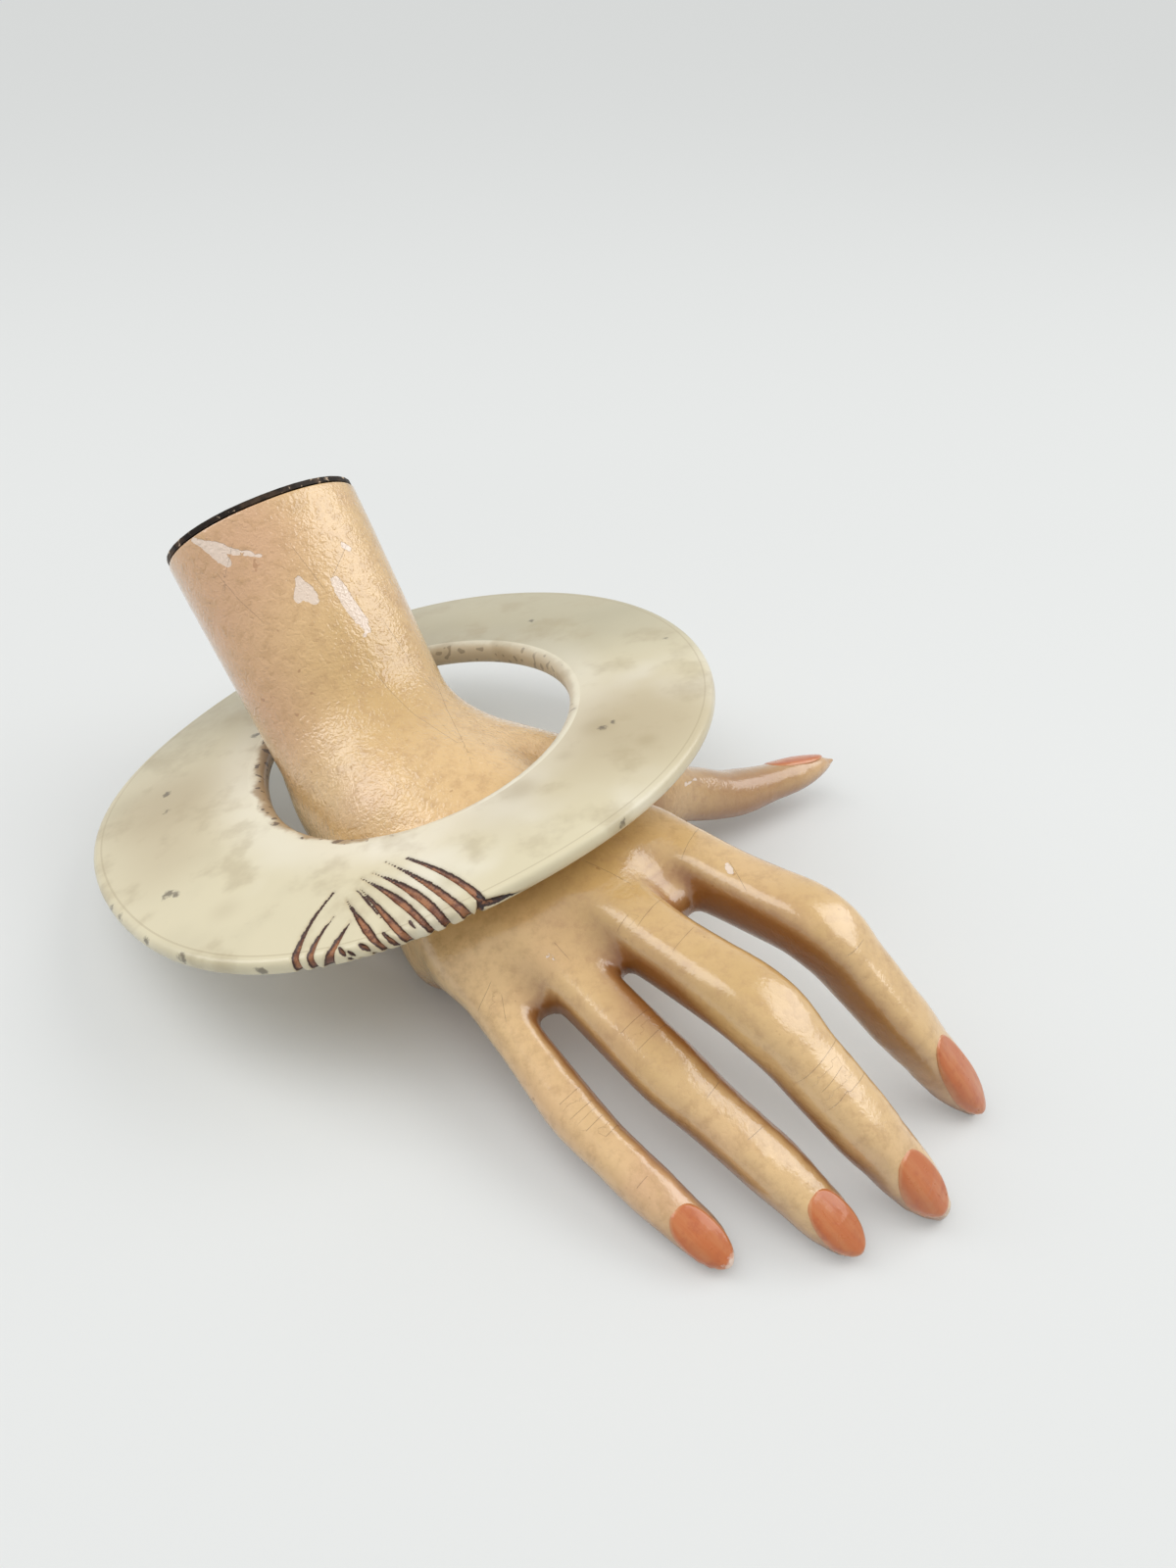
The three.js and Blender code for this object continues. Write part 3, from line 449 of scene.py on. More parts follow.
# %% [markdown]
# ### Smoothing the mesh without losing the shape
# Evening out alone would shrink the hand, and drawing onto the surface alone would bunch the
# points. In turn, the two give even quads that lie on the surface. In the narrow creases between
# fingers the field folds too sharply for its mesh, as if the mould had a scratch there. A
# moulder would rub that down with wet paper, and so the points in creases are only evened out.

# %% Drawing onto the surface, evening out and cutting in four
# Bend in 1/mm where a crease starts to be rubbed down, and where it is rubbed down fully
CREASE_BEND = (0.133, 0.3)
RUB_PASSES = 14


def field_and_normal(p, reach=0.2):
    """Field and outward normal from four probes at the corners of a small tetrahedron."""
    probes = np.array([[1, 1, 1], [1, -1, -1], [-1, 1, -1], [-1, -1, 1]], float)
    values = hand_field(np.concatenate([p + reach * k for k in probes])).reshape(4, -1)
    slope = probes.T @ values / (4 * reach)
    return values.mean(0), slope.T


def draw_onto(p, passes=2):
    """Newton steps p - f grad f / |grad f|^2, which end where the field is zero."""
    for _ in range(passes):
        value, slope = field_and_normal(p)
        steep = np.maximum((slope**2).sum(1), 0.25)
        p = p - 0.95 * slope * (value / steep)[:, None]
    return p


def edge_pairs(quads):
    """Each edge of the mesh once, as two point numbers."""
    pairs = np.concatenate([quads[:, [k, (k + 1) % 4]] for k in range(4)])
    return np.unique(np.sort(pairs, 1), axis=0)


def evened(p, quads, share=0.5):
    """Each point, or row of values, moved this share of the way to the mean of its neighbours."""
    pairs = edge_pairs(quads)
    both = np.concatenate([pairs, pairs[:, ::-1]])
    count = np.bincount(both[:, 0], minlength=len(p))
    mean = np.stack([np.bincount(both[:, 0], p[both[:, 1], k], len(p))
                     for k in range(p.shape[1])], 1)
    return p + share * (mean / np.maximum(count, 1)[:, None] - p)


def cut_in_four(p, quads):
    """Quads cut at the middles of their edges and at their own middle."""
    sides = np.stack([np.sort(quads[:, [k, (k + 1) % 4]], 1) for k in range(4)], 1)
    pairs, where = np.unique(sides.reshape(-1, 2), axis=0, return_inverse=True)
    middle = len(p) + where.reshape(-1, 4)
    centre = len(p) + len(pairs) + np.arange(len(quads))
    points = np.concatenate([p, p[pairs].mean(1), p[quads].mean(1)])
    small = [np.stack([quads[:, k], middle[:, k], centre, middle[:, k - 1]], 1) for k in range(4)]
    return points, np.concatenate(small)


def hollow_of(p, reach=1.6):
    """Bend of the surface in 1/mm: minus the sum of the field at six points around, less six
    times its value there, over the reach squared. Above zero in creases, below on ridges."""
    probes = np.concatenate([reach * np.eye(3), -reach * np.eye(3)])
    around = hand_field(np.concatenate([p + k for k in probes])).reshape(6, -1).sum(0)
    return -(around - 6 * hand_field(p)) / reach**2


def hand_mesh(step):
    """The field on a grid that lies along the hand, meshed at twice the step and refined once."""
    counts = np.ceil(GRID_SIZE / (2 * step)).astype(int)
    axes = [GRID_LOW[k] + 2 * step * np.arange(counts[k]) for k in range(3)]
    grid = np.stack(np.meshgrid(*axes, indexing="ij"), -1).reshape(-1, 3)
    values = np.concatenate([hand_field(part @ GRID_FRAME)
                             for part in np.array_split(grid, 1 + len(grid) // 60000)])
    points, quads = surface_nets(values.reshape(counts), GRID_LOW, 2 * step)
    points = points @ GRID_FRAME
    for _ in range(2):
        points = draw_onto(evened(points, quads), 1)
    points, quads = cut_in_four(points, quads)
    points = draw_onto(evened(points, quads), 2)
    sharp = (np.abs(hollow_of(points)) - CREASE_BEND[0]) / np.ptp(CREASE_BEND)
    creased = np.clip(sharp, 0, 1)[:, None]
    for _ in range(3):
        creased = np.maximum(creased, evened(creased, quads, 1.0))
    for _ in range(RUB_PASSES):
        points = points + creased * (evened(points, quads) - points)
    return points, quads


hand_step = 1.0
hand_points, hand_quads = hand_mesh(hand_step)
hand_edges = edge_pairs(hand_quads)
edge_lengths = np.linalg.norm(hand_points[hand_edges[:, 0]] - hand_points[hand_edges[:, 1]], axis=1)
print("hand before the cut:", len(hand_points), "points, edges of", edge_lengths.mean().round(2),
      "mm on average")
# %% [markdown]
# ### The cut wrist
# The stub was sawn square and then closed by a plate on a wooden plug. So the mesh is cut by the
# plane of that saw cut, and its rim is carried round a small worn edge, inwards to the pocket of
# the plug, and down the pocket's wall.

# %% Frame of the stub and the pocket's outline
ARM_AXIS = unit(np.array(ARM_END) - WRIST)
ARM_SIDE = unit(np.cross(ARM_BACK, ARM_AXIS))
ARM_FRAME = np.stack([ARM_SIDE, np.cross(ARM_AXIS, ARM_SIDE), ARM_AXIS])
SAW_CUT = -1.6
WORN_EDGE = 0.35
PLUG_SHARE = 0.66
POCKET_FLOOR = -33.9
PLUG_CLEARANCE = 0.3
# The worn edge is turned in two steps: way in from the skin, and down from the saw cut
EDGE_STEPS = [(0.1, 0.12), (0.35, 0)]
POCKET_BEVEL = 0.3


def pocket_radius(angle):
    """Polar radius of the plug's outline: (|cos|^n / a^n + |sin|^n / b^n)^(-1/n), where
    a and b are the plug's radii with the clearance round it."""
    n = ARM_EXPONENT
    wide, tall_back, tall_palm = [r * PLUG_SHARE + PLUG_CLEARANCE for r in ARM_SECTIONS[2][1:]]
    tall = np.where(np.sin(angle) > 0, tall_back, tall_palm)
    return (np.abs(np.cos(angle) / wide) ** n + np.abs(np.sin(angle) / tall) ** n) ** (-1 / n)


print("pocket's radius to the side and to the back:", pocket_radius(np.radians([0, 90])).round(1))

# %% Cutting the mesh at the wrist


def cut_at_wrist(points, quads):
    """Points and faces below the saw cut, closed by rings round the edge and the pocket."""
    rough = bpy.data.meshes.new("rough")
    rough.from_pydata(points.tolist(), [], quads.tolist())
    work = bmesh.new()
    work.from_mesh(rough)
    plane = np.array(ARM_END) + ARM_AXIS * (SAW_CUT - WORN_EDGE)
    everything = work.verts[:] + work.edges[:] + work.faces[:]
    bmesh.ops.bisect_plane(work, geom=everything, plane_co=plane, plane_no=ARM_AXIS,
                           clear_outer=True)
    work.verts.index_update()
    rim = {v.index for e in work.edges if e.is_boundary for v in e.verts}
    points = np.array([v.co for v in work.verts])
    faces = [[v.index for v in f.verts] for f in work.faces]
    work.free()
    bpy.data.meshes.remove(rough)
    rim = np.array(sorted(rim))
    flat = (points[rim] - ARM_END) @ ARM_FRAME.T
    angle = np.arctan2(flat[:, 1], flat[:, 0])
    order = np.argsort(angle)
    rim = rim[order]
    flat = flat[order]
    angle = angle[order]
    radius = np.hypot(flat[:, 0], flat[:, 1])
    pocket = pocket_radius(angle)
    rings = [(radius - inwards, SAW_CUT - down) for inwards, down in EDGE_STEPS]
    rings += [(pocket + POCKET_BEVEL, SAW_CUT), (pocket, SAW_CUT - POCKET_BEVEL),
              (pocket, POCKET_FLOOR), (pocket * 0.02, POCKET_FLOOR)]
    last, count = rim, len(points)
    for r, height in rings:
        ring = np.stack([r * np.cos(angle), r * np.sin(angle), np.full(len(r), height)], 1)
        points = np.concatenate([points, ARM_END + ring @ ARM_FRAME])
        new = count + np.arange(len(rim))
        faces += np.stack([last, np.roll(last, -1), np.roll(new, -1), new], 1).tolist()
        last, count = new, count + len(rim)
    faces.append(last.tolist())
    return points, faces


hand_points, hand_faces = cut_at_wrist(hand_points, hand_quads)
hand_points[:, 2] = np.maximum(hand_points[:, 2], 0)
print("hand:", len(hand_points), "points, box", hand_points.min(0).round(1),
      hand_points.max(0).round(1))

# %% [markdown]
# ### Marks of age on the hand
# The paint has been knocked off in places, down to pale primer, and fine hairlines cross the
# fingers where the composition has moved under the stiff paint. A texture painted by hand could
# hold them, but it needs an unwrapped mesh and comes out blurred close up. Here the marks are read
# off the photograph, pixel by pixel, and each pixel is thrown back along its ray onto the hand.

# %% Where the photograph shows the marks
# Chips: pixels along each one, with the half width there in mm
CHIPS = [
    [[196, 550, 0.9], [214, 558, 1.6], [232, 574, 1.2]],
    [[214, 556, 1.1], [240, 564, 0.9], [266, 567, 0.4]],
    [[304, 591, 0.85], [313, 604, 1.9], [321, 612, 1.2]],
    [[306, 594, 0.9], [304, 612, 0.8]],
    [[342, 592, 0.8], [354, 612, 1.8], [368, 632, 1.8]],
    [[368, 632, 1.3], [376, 644, 0.6]],
    [[374, 642, 0.4], [371, 650, 0.4]],
    [[350, 556, 0.8], [356, 560, 0.7]],
    [[742, 882, 0.45], [746, 890, 0.5]],
    [[560, 975, 0.4], [570, 980, 0.12]],
    [[700, 800, 0.5], [712, 794, 0.5]],
]
# Brown specks in the paint: pixel and radius in mm
SPECKS = [[300, 540, 0.4], [758, 1000, 0.2], [826, 1053, 0.2]]
# Hairlines: the pixels of both ends
CRACKS = [
    [852, 1064, 824, 1098], [858, 1090, 842, 1112], [882, 1096, 854, 1128],
    [678, 918, 654, 940], [706, 948, 688, 968], [868, 1108, 852, 1130], [640, 934, 630, 950],
    [678, 1046, 654, 1068], [660, 1030, 636, 1052], [778, 1150, 764, 1162],
    [734, 1104, 722, 1120], [602, 1124, 584, 1140], [614, 1138, 598, 1154],
    [630, 1148, 618, 1160], [590, 1110, 572, 1126], [660, 1200, 650, 1212],
    [712, 846, 697, 872], [500, 1004, 488, 1030], [566, 962, 580, 978], [512, 1016, 516, 1040],
    [600, 880, 640, 900], [745, 880, 760, 905], [880, 960, 868, 975], [223, 587, 244, 612],
    [244, 612, 266, 632], [448, 703, 478, 770], [396, 640, 440, 700], [380, 680, 470, 760],
    [300, 560, 330, 600], [340, 586, 352, 560], [236, 560, 228, 600],
]


def on_hand(pixels):
    """Where the ray through each pixel meets the hand: a walk along the ray from the camera, by
    0.8 of the distance to the hand each time and never more than 8 mm."""
    x, y = (np.array(pixels, float) - PHOTO_CENTRE).T / FOCAL_PIXELS
    down, ahead = math.sin(LOOKS_DOWN), math.cos(LOOKS_DOWN)
    ray = np.stack([x, ahead - y * down, -down - y * ahead], 1)
    ray /= np.linalg.norm(ray, axis=1)[:, None]
    walked = np.full(len(ray), 120.0)
    for _ in range(80):
        gap = hand_field(CAMERA_PLACE + walked[:, None] * ray)
        walked += 0.8 * np.clip(gap, -4, 10)
    return CAMERA_PLACE + walked[:, None] * ray


chips = [np.column_stack([on_hand(np.array(row)[:, :2]), np.array(row)[:, 2]]) for row in CHIPS]
specks = np.column_stack([on_hand(np.array(SPECKS)[:, :2]), np.array(SPECKS)[:, 2]])
cracks = on_hand(np.reshape(CRACKS, (-1, 2))).reshape(-1, 2, 3)
print(len(chips), "chips,", len(specks), "specks,", len(cracks), "hairlines of",
      np.linalg.norm(cracks[:, 1] - cracks[:, 0], axis=1).mean().round(1), "mm on average")

# %% [markdown]
# ### How far each point is from the marks
# A mark's place is not enough for the paint: it needs to know, everywhere, how near the next
# mark is. Those distances change smoothly from point to point, so the mesh can hold them though
# its points are a millimetre apart, and the paint cuts its sharp edges out of them.

# %% Distances to the marks
# Share of its length that each hairline runs on past both ends, fading
DRAWN_OUT = 0.2
FAR_OFF = 9.0


def marks_distance(chains, p):
    """Distance to the nearest of these chains of capsules: to a segment, less a half width that
    changes evenly along it."""
    best = np.full(len(p), FAR_OFF)
    for chain in chains:
        for a, b in zip(chain[:-1], chain[1:]):
            near = (np.abs(p - (a + b)[:3] / 2) < np.abs(b - a)[:3] / 2 + 8).all(1)
            leg = b[:3] - a[:3]
            t = np.clip((p[near] - a[:3]) @ leg / (leg @ leg), 0, 1)
            gap = np.linalg.norm(p[near] - a[:3] - t[:, None] * leg, axis=1)
            best[near] = np.minimum(best[near], gap - a[3] - (b[3] - a[3]) * t)
    return best


def crack_marks(p):
    """Signed distance to the plane of the nearest hairline, which is zero all along the line, and
    a fade that is 1 beside the line and falls to 0 past its ends."""
    offset, fade = np.full(len(p), FAR_OFF), np.zeros(len(p))
    normals = field_and_normal(cracks.mean(1))[1]
    for (a, b), normal in zip(cracks, normals):
        a, b = mix(a, b, -DRAWN_OUT), mix(a, b, 1 + DRAWN_OUT)
        across = unit(np.cross(b - a, normal))
        near = np.linalg.norm(p - (a + b) / 2, axis=1) < np.linalg.norm(b - a) / 2 + 3
        t = (p[near] - a) @ (b - a) / ((b - a) @ (b - a))
        d = (p[near] - a) @ across
        shown = np.clip(np.minimum(t, 1 - t) * 6, 0, 1)
        closer = (np.abs(d) < np.abs(offset[near])) & (shown > 0)
        rows = np.flatnonzero(near)[closer]
        offset[rows], fade[rows] = d[closer], shown[closer]
    return offset, fade


def soft_spots(rows, p):
    """Sum of weights times exp(-(d / radius)^2) over rows of place, radius and weight."""
    return sum(row[4] * np.exp(-((p - row[:3]) ** 2).sum(1) / row[3] ** 2) for row in rows)


chip = marks_distance(chips, hand_points)
speck = marks_distance([[s, s + [0, 0, 0.01, 0]] for s in specks], hand_points)
crack, crack_fade = crack_marks(hand_points)
print((chip < 0).sum(), "points lie in chips,", (crack_fade > 0).sum(), "beside a hairline")

# %% [markdown]
# ### Where the paint changes over the hand
# Some changes follow the shape: painted shade in closed-in places, near other parts of the hand or
# the table, dirt and painted shade in creases, wear on ridges. They are measured on the shape
# itself, and don't change with the light.
# Others are placed as soft round patches: the rosy and olive tints, which follow the hand's
# history, and more painted shade.

# %% What each point of the hand stores
# Patches: place, radius and weight
ROSY = [[-72, 38, 66, 22, 1.0], [-58, 14, 44, 16, 0.8], [8, -76, 12, 14, 0.5],
        [40, -88, 12, 12, 0.4], [90, 46, 14, 14, 0.5], [-60, 40, 84, 14, 0.5]]
# Olive patches of yellowed varnish; the second, on the thumb, is painted shade
OLIVE_AND_THUMB_SHADE = [[40, -48, 36, 34, 0.6], [62, 28, 16, 24, 0.7], [80, -60, 24, 18, 0.4],
         [-28, 22, 52, 22, 0.9], [20, -30, 38, 20, 0.5], [52, -64, 38, 9, 0.5],
         [34, -70, 28, 9, 0.5], [66, -44, 42, 9, 0.4], [10, -10, 38, 18, 0.4]]

# Patches of painted shade past the recesses, on the thumb, beside the middle finger and on the
# index: place, radius and weight
SHADE_PATCHES = [[62, 28, 14, 28, 0.4], [34, -58, 28, 10, 0.35], [60, -38, 38, 12, 0.1]]
BEND_LIMIT = 0.6
# The wrinkle is coarse on the forearm, and fades along the hand to a fifth on the fingers
WRINKLED_TO = 50
WRINKLE_FADES = 60
FINGER_WRINKLE = 0.2
# How far out from the skin the closed-in places are looked for, in mm, with the weight of each
LOOKED_OUT = ((4, 0.45), (10, 0.35), (22, 0.2))


def painted_shade_of(p):
    """How closed in each point is, for the painted shade: over three ways straight out from it, the
    share by which the nearest surface, of the hand or the table, comes closer than that."""
    slope = field_and_normal(p, 0.5)[1]
    out = slope / np.linalg.norm(slope, axis=1)[:, None]
    total = np.zeros(len(p))
    for way, weight in LOOKED_OUT:
        there = p + way * out
        gap = np.minimum(hand_field(there), there[:, 2])
        total += weight * np.clip(1 - gap / way, 0, 1)
    return total


bend = np.clip(hollow_of(hand_points), -BEND_LIMIT, BEND_LIMIT)[:, None]
whole_quads = np.array([face for face in hand_faces if len(face) == 4])
for _ in range(5):
    bend = evened(bend, whole_quads, 0.8)
down_hand = hand_points @ GRID_X
leathery = np.clip((WRINKLED_TO - down_hand) / WRINKLE_FADES, FINGER_WRINKLE, 1)
# The brown of closed-in places, and of a few patches, is painted shade
hand_attributes = dict(
    chip=chip, speck=speck, crack=crack, crack_fade=crack_fade, hollow=bend[:, 0],
    leathery=leathery, rosy=soft_spots(ROSY, hand_points), olive_and_thumb_shade=soft_spots(OLIVE_AND_THUMB_SHADE, hand_points),
    painted_shade=painted_shade_of(hand_points) + soft_spots(SHADE_PATCHES, hand_points),
)
for name, values in hand_attributes.items():
    print(name, "from", values.min().round(2), "to", values.max().round(2))
# %% [markdown]
# ## The bangle
# The real bangle is one flat ring, turned and then cut a little out of round by hand. It swells
# from a thin rim to a thick hole, both with soft edges. A lathe would give a perfect circle, so
# the section is carried round by two parameters instead: the angle, and the way round the
# section. Waves in the angle then shift the rim and the hole, as on the CAD solid.

# %% Frame and section of the bangle
BANGLE_CENTRE = np.array([-26.8, 21.7, 34.1])
BANGLE_UP = unit([-0.247, 0.08, 0.966])
BANGLE_SIDE = unit(np.array([1, 0, 0]) - BANGLE_UP[0] * BANGLE_UP)
BANGLE_FRAME = np.stack([BANGLE_SIDE, np.cross(BANGLE_UP, BANGLE_SIDE), BANGLE_UP])
HOLE_RADIUS = 42.0
RIM_RADIUS = 79.3
HOLE_HALF = 3.1
RIM_HALF = 1.9
FACE_SWELL = 3.5
END_EXPONENT = 2.5
# Waves round the rim and the hole: order, cosine and sine in mm
RIM_WAVES = [[2, -0.4, 0.1], [3, 0.7, -0.5], [4, 1, -0.4], [5, -0.6, -0.2]]
HOLE_WAVES = [[1, 3.7, 1.5], [2, -1.8, -1.9], [3, 0.5, 0.5]]


def waves(rows, angle):
    """Sum of c cos(n angle) + s sin(n angle) over rows of order n, c and s."""
    return sum(c * np.cos(n * angle) + s * np.sin(n * angle) for n, c, s in rows)


def rounded_end(centre, half, first, last, count):
    """Half round in the section: (cos a, sin a) squared up by the power 2/n, times half."""
    a = np.radians(np.linspace(first, last, count))
    squared = [np.sign(v) * np.abs(v) ** (2 / END_EXPONENT) for v in (np.cos(a), np.sin(a))]
    return np.stack([centre + half * squared[0], half * squared[1]], 1)


def parabola(a, b, c, count):
    """(1-t)^2 a + 2t(1-t) b + t^2 c, without its two end points."""
    t = np.linspace(0, 1, count + 2)[1:-1, None]
    return (1 - t) ** 2 * np.array(a) + 2 * t * (1 - t) * np.array(b) + t**2 * np.array(c)


def bangle_section():
    """Closed section as (radius, height) rows, from the top of the hole's edge outwards over the
    upper face, round the rim, and back under the lower face and up the hole's wall."""
    inner, outer = HOLE_RADIUS + HOLE_HALF, RIM_RADIUS - RIM_HALF
    middle = (inner + outer) / 2
    top = parabola((inner, HOLE_HALF), (middle, FACE_SWELL), (outer, RIM_HALF), 84)
    under = parabola((outer, -RIM_HALF), (middle, -FACE_SWELL), (inner, -HOLE_HALF), 14)
    rim = rounded_end(outer, RIM_HALF, 90, -90, 17)
    hole = rounded_end(inner, HOLE_HALF, 270, 90, 15)
    return np.concatenate([top, rim, under, hole])


SECTION = bangle_section()
print("section of", len(SECTION), "points")

# %% [markdown]
# ### Carved strokes
# Along the front of the disc somebody has cut a fan of strokes with a small gouge: long tapering
# ones, short leaf-shaped ones, and a few pricked dots. Brown wood shows in them. A bump map would
# shade them without depth, so they are cut into the mesh: each stroke is a curve in the plane of
# the disc with a width that changes along it, and points nearer to it than that sink in.
# Places are in millimetres in the plane of the disc, from its centre. The plane is laid over the
# rim as paper would be, so a stroke can run over the edge.

# %% The strokes
# Start, middle, end, and half width at those three
STROKES = [
    [[-5.1, -62.1], [-9.3, -72.8], [-10.2, -83.4], 0.35, 0.5, 1.0],
    [[-3.7, -69.9], [-6.6, -76.9], [-6.9, -83.5], 0.2, 0.6, 0.9],
    [[0.2, -72.2], [-2.3, -78.6], [-4.0, -83.3], 0.2, 0.8, 1.1],
    [[-1.0, -79.1], [-0.5, -80.3], [-0.1, -81.3], 0.3, 0.6, 0.3],
    [[0.6, -82.4], [0.8, -82.7], [1.1, -83.0], 0.45, 0.55, 0.45],
    [[0.7, -80.4], [1.2, -81.0], [1.8, -81.7], 0.25, 0.5, 0.25],
    [[2.6, -82.8], [2.9, -83.0], [3.2, -83.2], 0.4, 0.5, 0.4],
    [[3.3, -79.2], [4.1, -80.2], [4.8, -81.1], 0.4, 0.7, 0.35],
    [[5.6, -82.2], [5.9, -82.5], [6.2, -82.8], 0.5, 0.6, 0.5],
    [[-1.7, -65.2], [4.0, -75.2], [8.7, -82.9], 0.15, 0.95, 0.55],
    [[-0.1, -62.3], [3.6, -67.8], [6.7, -72.8], 0.15, 0.3, 0.12],
    [[1.0, -62.6], [7.7, -72.4], [13.2, -80.9], 0.2, 0.8, 0.95],
    [[7.8, -77.2], [9.4, -79.6], [10.6, -81.0], 0.3, 0.6, 0.35],
    [[11.4, -82.0], [11.6, -82.2], [11.8, -82.4], 0.5, 0.5, 0.5],
    [[0.6, -59.1], [10.3, -68.9], [18.2, -80.0], 0.2, 0.95, 0.7],
    [[3.0, -58.0], [13.6, -67.7], [21.5, -79.2], 0.2, 1.05, 0.85],
    [[5.5, -55.1], [16.8, -66.3], [25.5, -77.2], 0.2, 0.85, 1.1],
    [[10.3, -55.3], [19.8, -63.4], [27.0, -71.8], 0.4, 0.75, 0.9],
    [[27.4, -72.4], [27.4, -74.4], [27.2, -77.5], 0.9, 0.8, 0.9],
    [[28.1, -73.6], [31.0, -73.0], [33.6, -72.4], 0.9, 0.95, 0.7],
    [[33.6, -72.4], [35.6, -71.7], [37.4, -71.0], 0.35, 0.25, 0.12],
    [[13.0, -75.2], [13.5, -76.2], [14.3, -77.4], 0.2, 0.3, 0.2],
    [[12.6, -81.5], [12.7, -81.5], [12.8, -81.5], 0.3, 0.3, 0.3],
    [[20.6, -76.9], [20.9, -76.6], [21.2, -76.4], 0.2, 0.25, 0.2],
]
# One pricked dot is a tiny ring: place, radius and half width
RINGLET = [15.3, -80.9]
RINGLET_RADIUS = 0.55
RINGLET_HALF = 0.18
STROKE_DEPTH = 0.85
# The wall of a stroke starts this far outside its edge and takes this way to full depth
WALL_START = 0.25
WALL_WAY = 0.75


def stroke_distance(plan):
    """Distance in the plane to the edge of the nearest stroke, below zero inside it. A stroke is
    a row of discs along the curve (1-t)^2 A + 2t(1-t) B + t^2 C."""
    t = np.linspace(0, 1, 33)[:, None]
    best = np.full(len(plan), 9.0)
    for start, middle, end, w0, w1, w2 in STROKES:
        a, m, c = np.array(start), np.array(middle), np.array(end)
        b = 2 * m - (a + c) / 2
        line = (1 - t) ** 2 * a + 2 * t * (1 - t) * b + t**2 * c
        width = np.interp(t[:, 0], [0, 0.5, 1], [w0, w1, w2])
        near = (np.abs(plan - line.mean(0)) < np.ptp(line, axis=0) / 2 + 6).all(1)
        gap = np.linalg.norm(plan[near][:, None] - line[None], axis=2) - width
        best[near] = np.minimum(best[near], gap.min(1))
    ring = np.abs(np.linalg.norm(plan - RINGLET, axis=1) - RINGLET_RADIUS) - RINGLET_HALF
    return np.minimum(best, ring)


tried = stroke_distance(np.array([STROKES[0][1], RINGLET, [0, -50]], float))
print(len(STROKES), "strokes; distances in a stroke, in the ringlet and off them:", tried.round(2))

# %% [markdown]
# ### Turning and carving the disc in one go
# A real disc is turned first and carved after. Here each point of the turned surface looks up
# how deep the gouge went at its place, and moves inwards by that. The rim gets a point every
# 1.3 mm, and the carved part one every 0.36 mm, as thin strokes need a finer mesh.


# %% The turned and carved surface
RIM_STEP = 1.3
CARVED_STEP = 0.36
CARVED_PART = (-104, -57)
# The sheet that the strokes are drawn on lies over the upper face and round the rim, so far
SHEET_REACH = 46
RING_WIDTH = RIM_RADIUS - HOLE_RADIUS


def bangle_angles():
    """Angles round the disc, with close points in the carved part and wider ones elsewhere."""
    fine = np.radians(np.arange(*CARVED_PART, math.degrees(CARVED_STEP / RIM_RADIUS)))
    rest = np.linspace(fine[-1], fine[0] + 2 * np.pi, int(400 / RIM_STEP))[1:-1]
    return np.concatenate([fine, rest])


def bangle_surface():
    """Points, quads and attributes of the disc. A point of the section at radius r goes to
    r + hole wave (1 - s) + rim wave s, with s from 0 at the hole to 1 at the rim."""
    angle = bangle_angles()
    radius, height = SECTION[:, 0], SECTION[:, 1]
    share = (radius - HOLE_RADIUS) / RING_WIDTH
    hole, rim = waves(HOLE_WAVES, angle), waves(RIM_WAVES, angle)
    shift = hole[:, None] * (1 - share) + rim[:, None] * share
    r = radius + shift
    walked = np.concatenate([[0], np.cumsum(np.hypot(*np.diff(SECTION, axis=0).T))])
    laid = np.where(walked < SHEET_REACH, SECTION[0, 0] + walked + shift, 0)
    direction = np.stack([np.cos(angle), np.sin(angle)], 1)
    plan = (laid[:, :, None] * direction[:, None]).reshape(-1, 2)
    carving = stroke_distance(plan)
    depth = STROKE_DEPTH * np.clip((WALL_START - carving) / WALL_WAY, 0, 1)
    depth = (depth * depth * (3 - 2 * depth / STROKE_DEPTH) / STROKE_DEPTH).reshape(r.shape)
    tangent = np.roll(SECTION, -1, axis=0) - np.roll(SECTION, 1, axis=0)
    tangent /= np.linalg.norm(tangent, axis=1)[:, None]
    r = r + depth * tangent[:, 1]
    h = height - depth * tangent[:, 0]
    flat = np.stack([r * direction[:, :1], r * direction[:, 1:], h + 0 * r], -1).reshape(-1, 3)
    n, m = r.shape
    i, j = np.meshgrid(np.arange(n), np.arange(m), indexing="ij")
    ring = [(i, j), (i, j + 1), (i + 1, j + 1), (i + 1, j)]
    quads = np.stack([(a % n) * m + b % m for a, b in ring], -1).reshape(-1, 4)
    extra = dict(carving=carving, from_hole=(share * RING_WIDTH + 0 * r).ravel())
    return BANGLE_CENTRE + flat @ BANGLE_FRAME, quads, plan, extra


bangle_points, bangle_quads, plan, bangle_attributes = bangle_surface()
print("bangle:", len(bangle_points), "points, box", bangle_points.min(0).round(1),
      bangle_points.max(0).round(1))
# %% [markdown]
# ### Nails
# The nails are part of the moulding: low plates with a soft edge, picked out with coral lacquer.
# Painting them on the hand's mesh would give their edge only as much shape as the mesh has, so
# each is a small surface of its own. Its outline lies in a plane that touches the fingertip, is
# dropped onto the finger along the plane's normal, and then raised a little inside its edge.

# %% Places and sizes of the nails
# Way along the finger, turn from its back, reach to the root, to the tip, half width
NAILS = {
    "index": [83.4, 16, 10.2, 11.2, 4.5],
    "middle": [90.5, 20, 8.4, 7.4, 4.6],
    "ring": [82.9, 9, 7.2, 7.6, 4.3],
    "little": [72.0, 11, 6.9, 7.7, 4.1],
    "thumb": [101.0, -12, 8.5, 9.5, 4.8],
}
NAIL_RAISED = 0.22
NAIL_SUNK = 0.12
NAIL_EDGE = 0.7
NAIL_POINTS = 96
for name, row in NAILS.items():
    print(name, "nail:", round(row[2] + row[3], 1), "by", 2 * row[4], "mm")

# %% Planes that the nails are drawn in


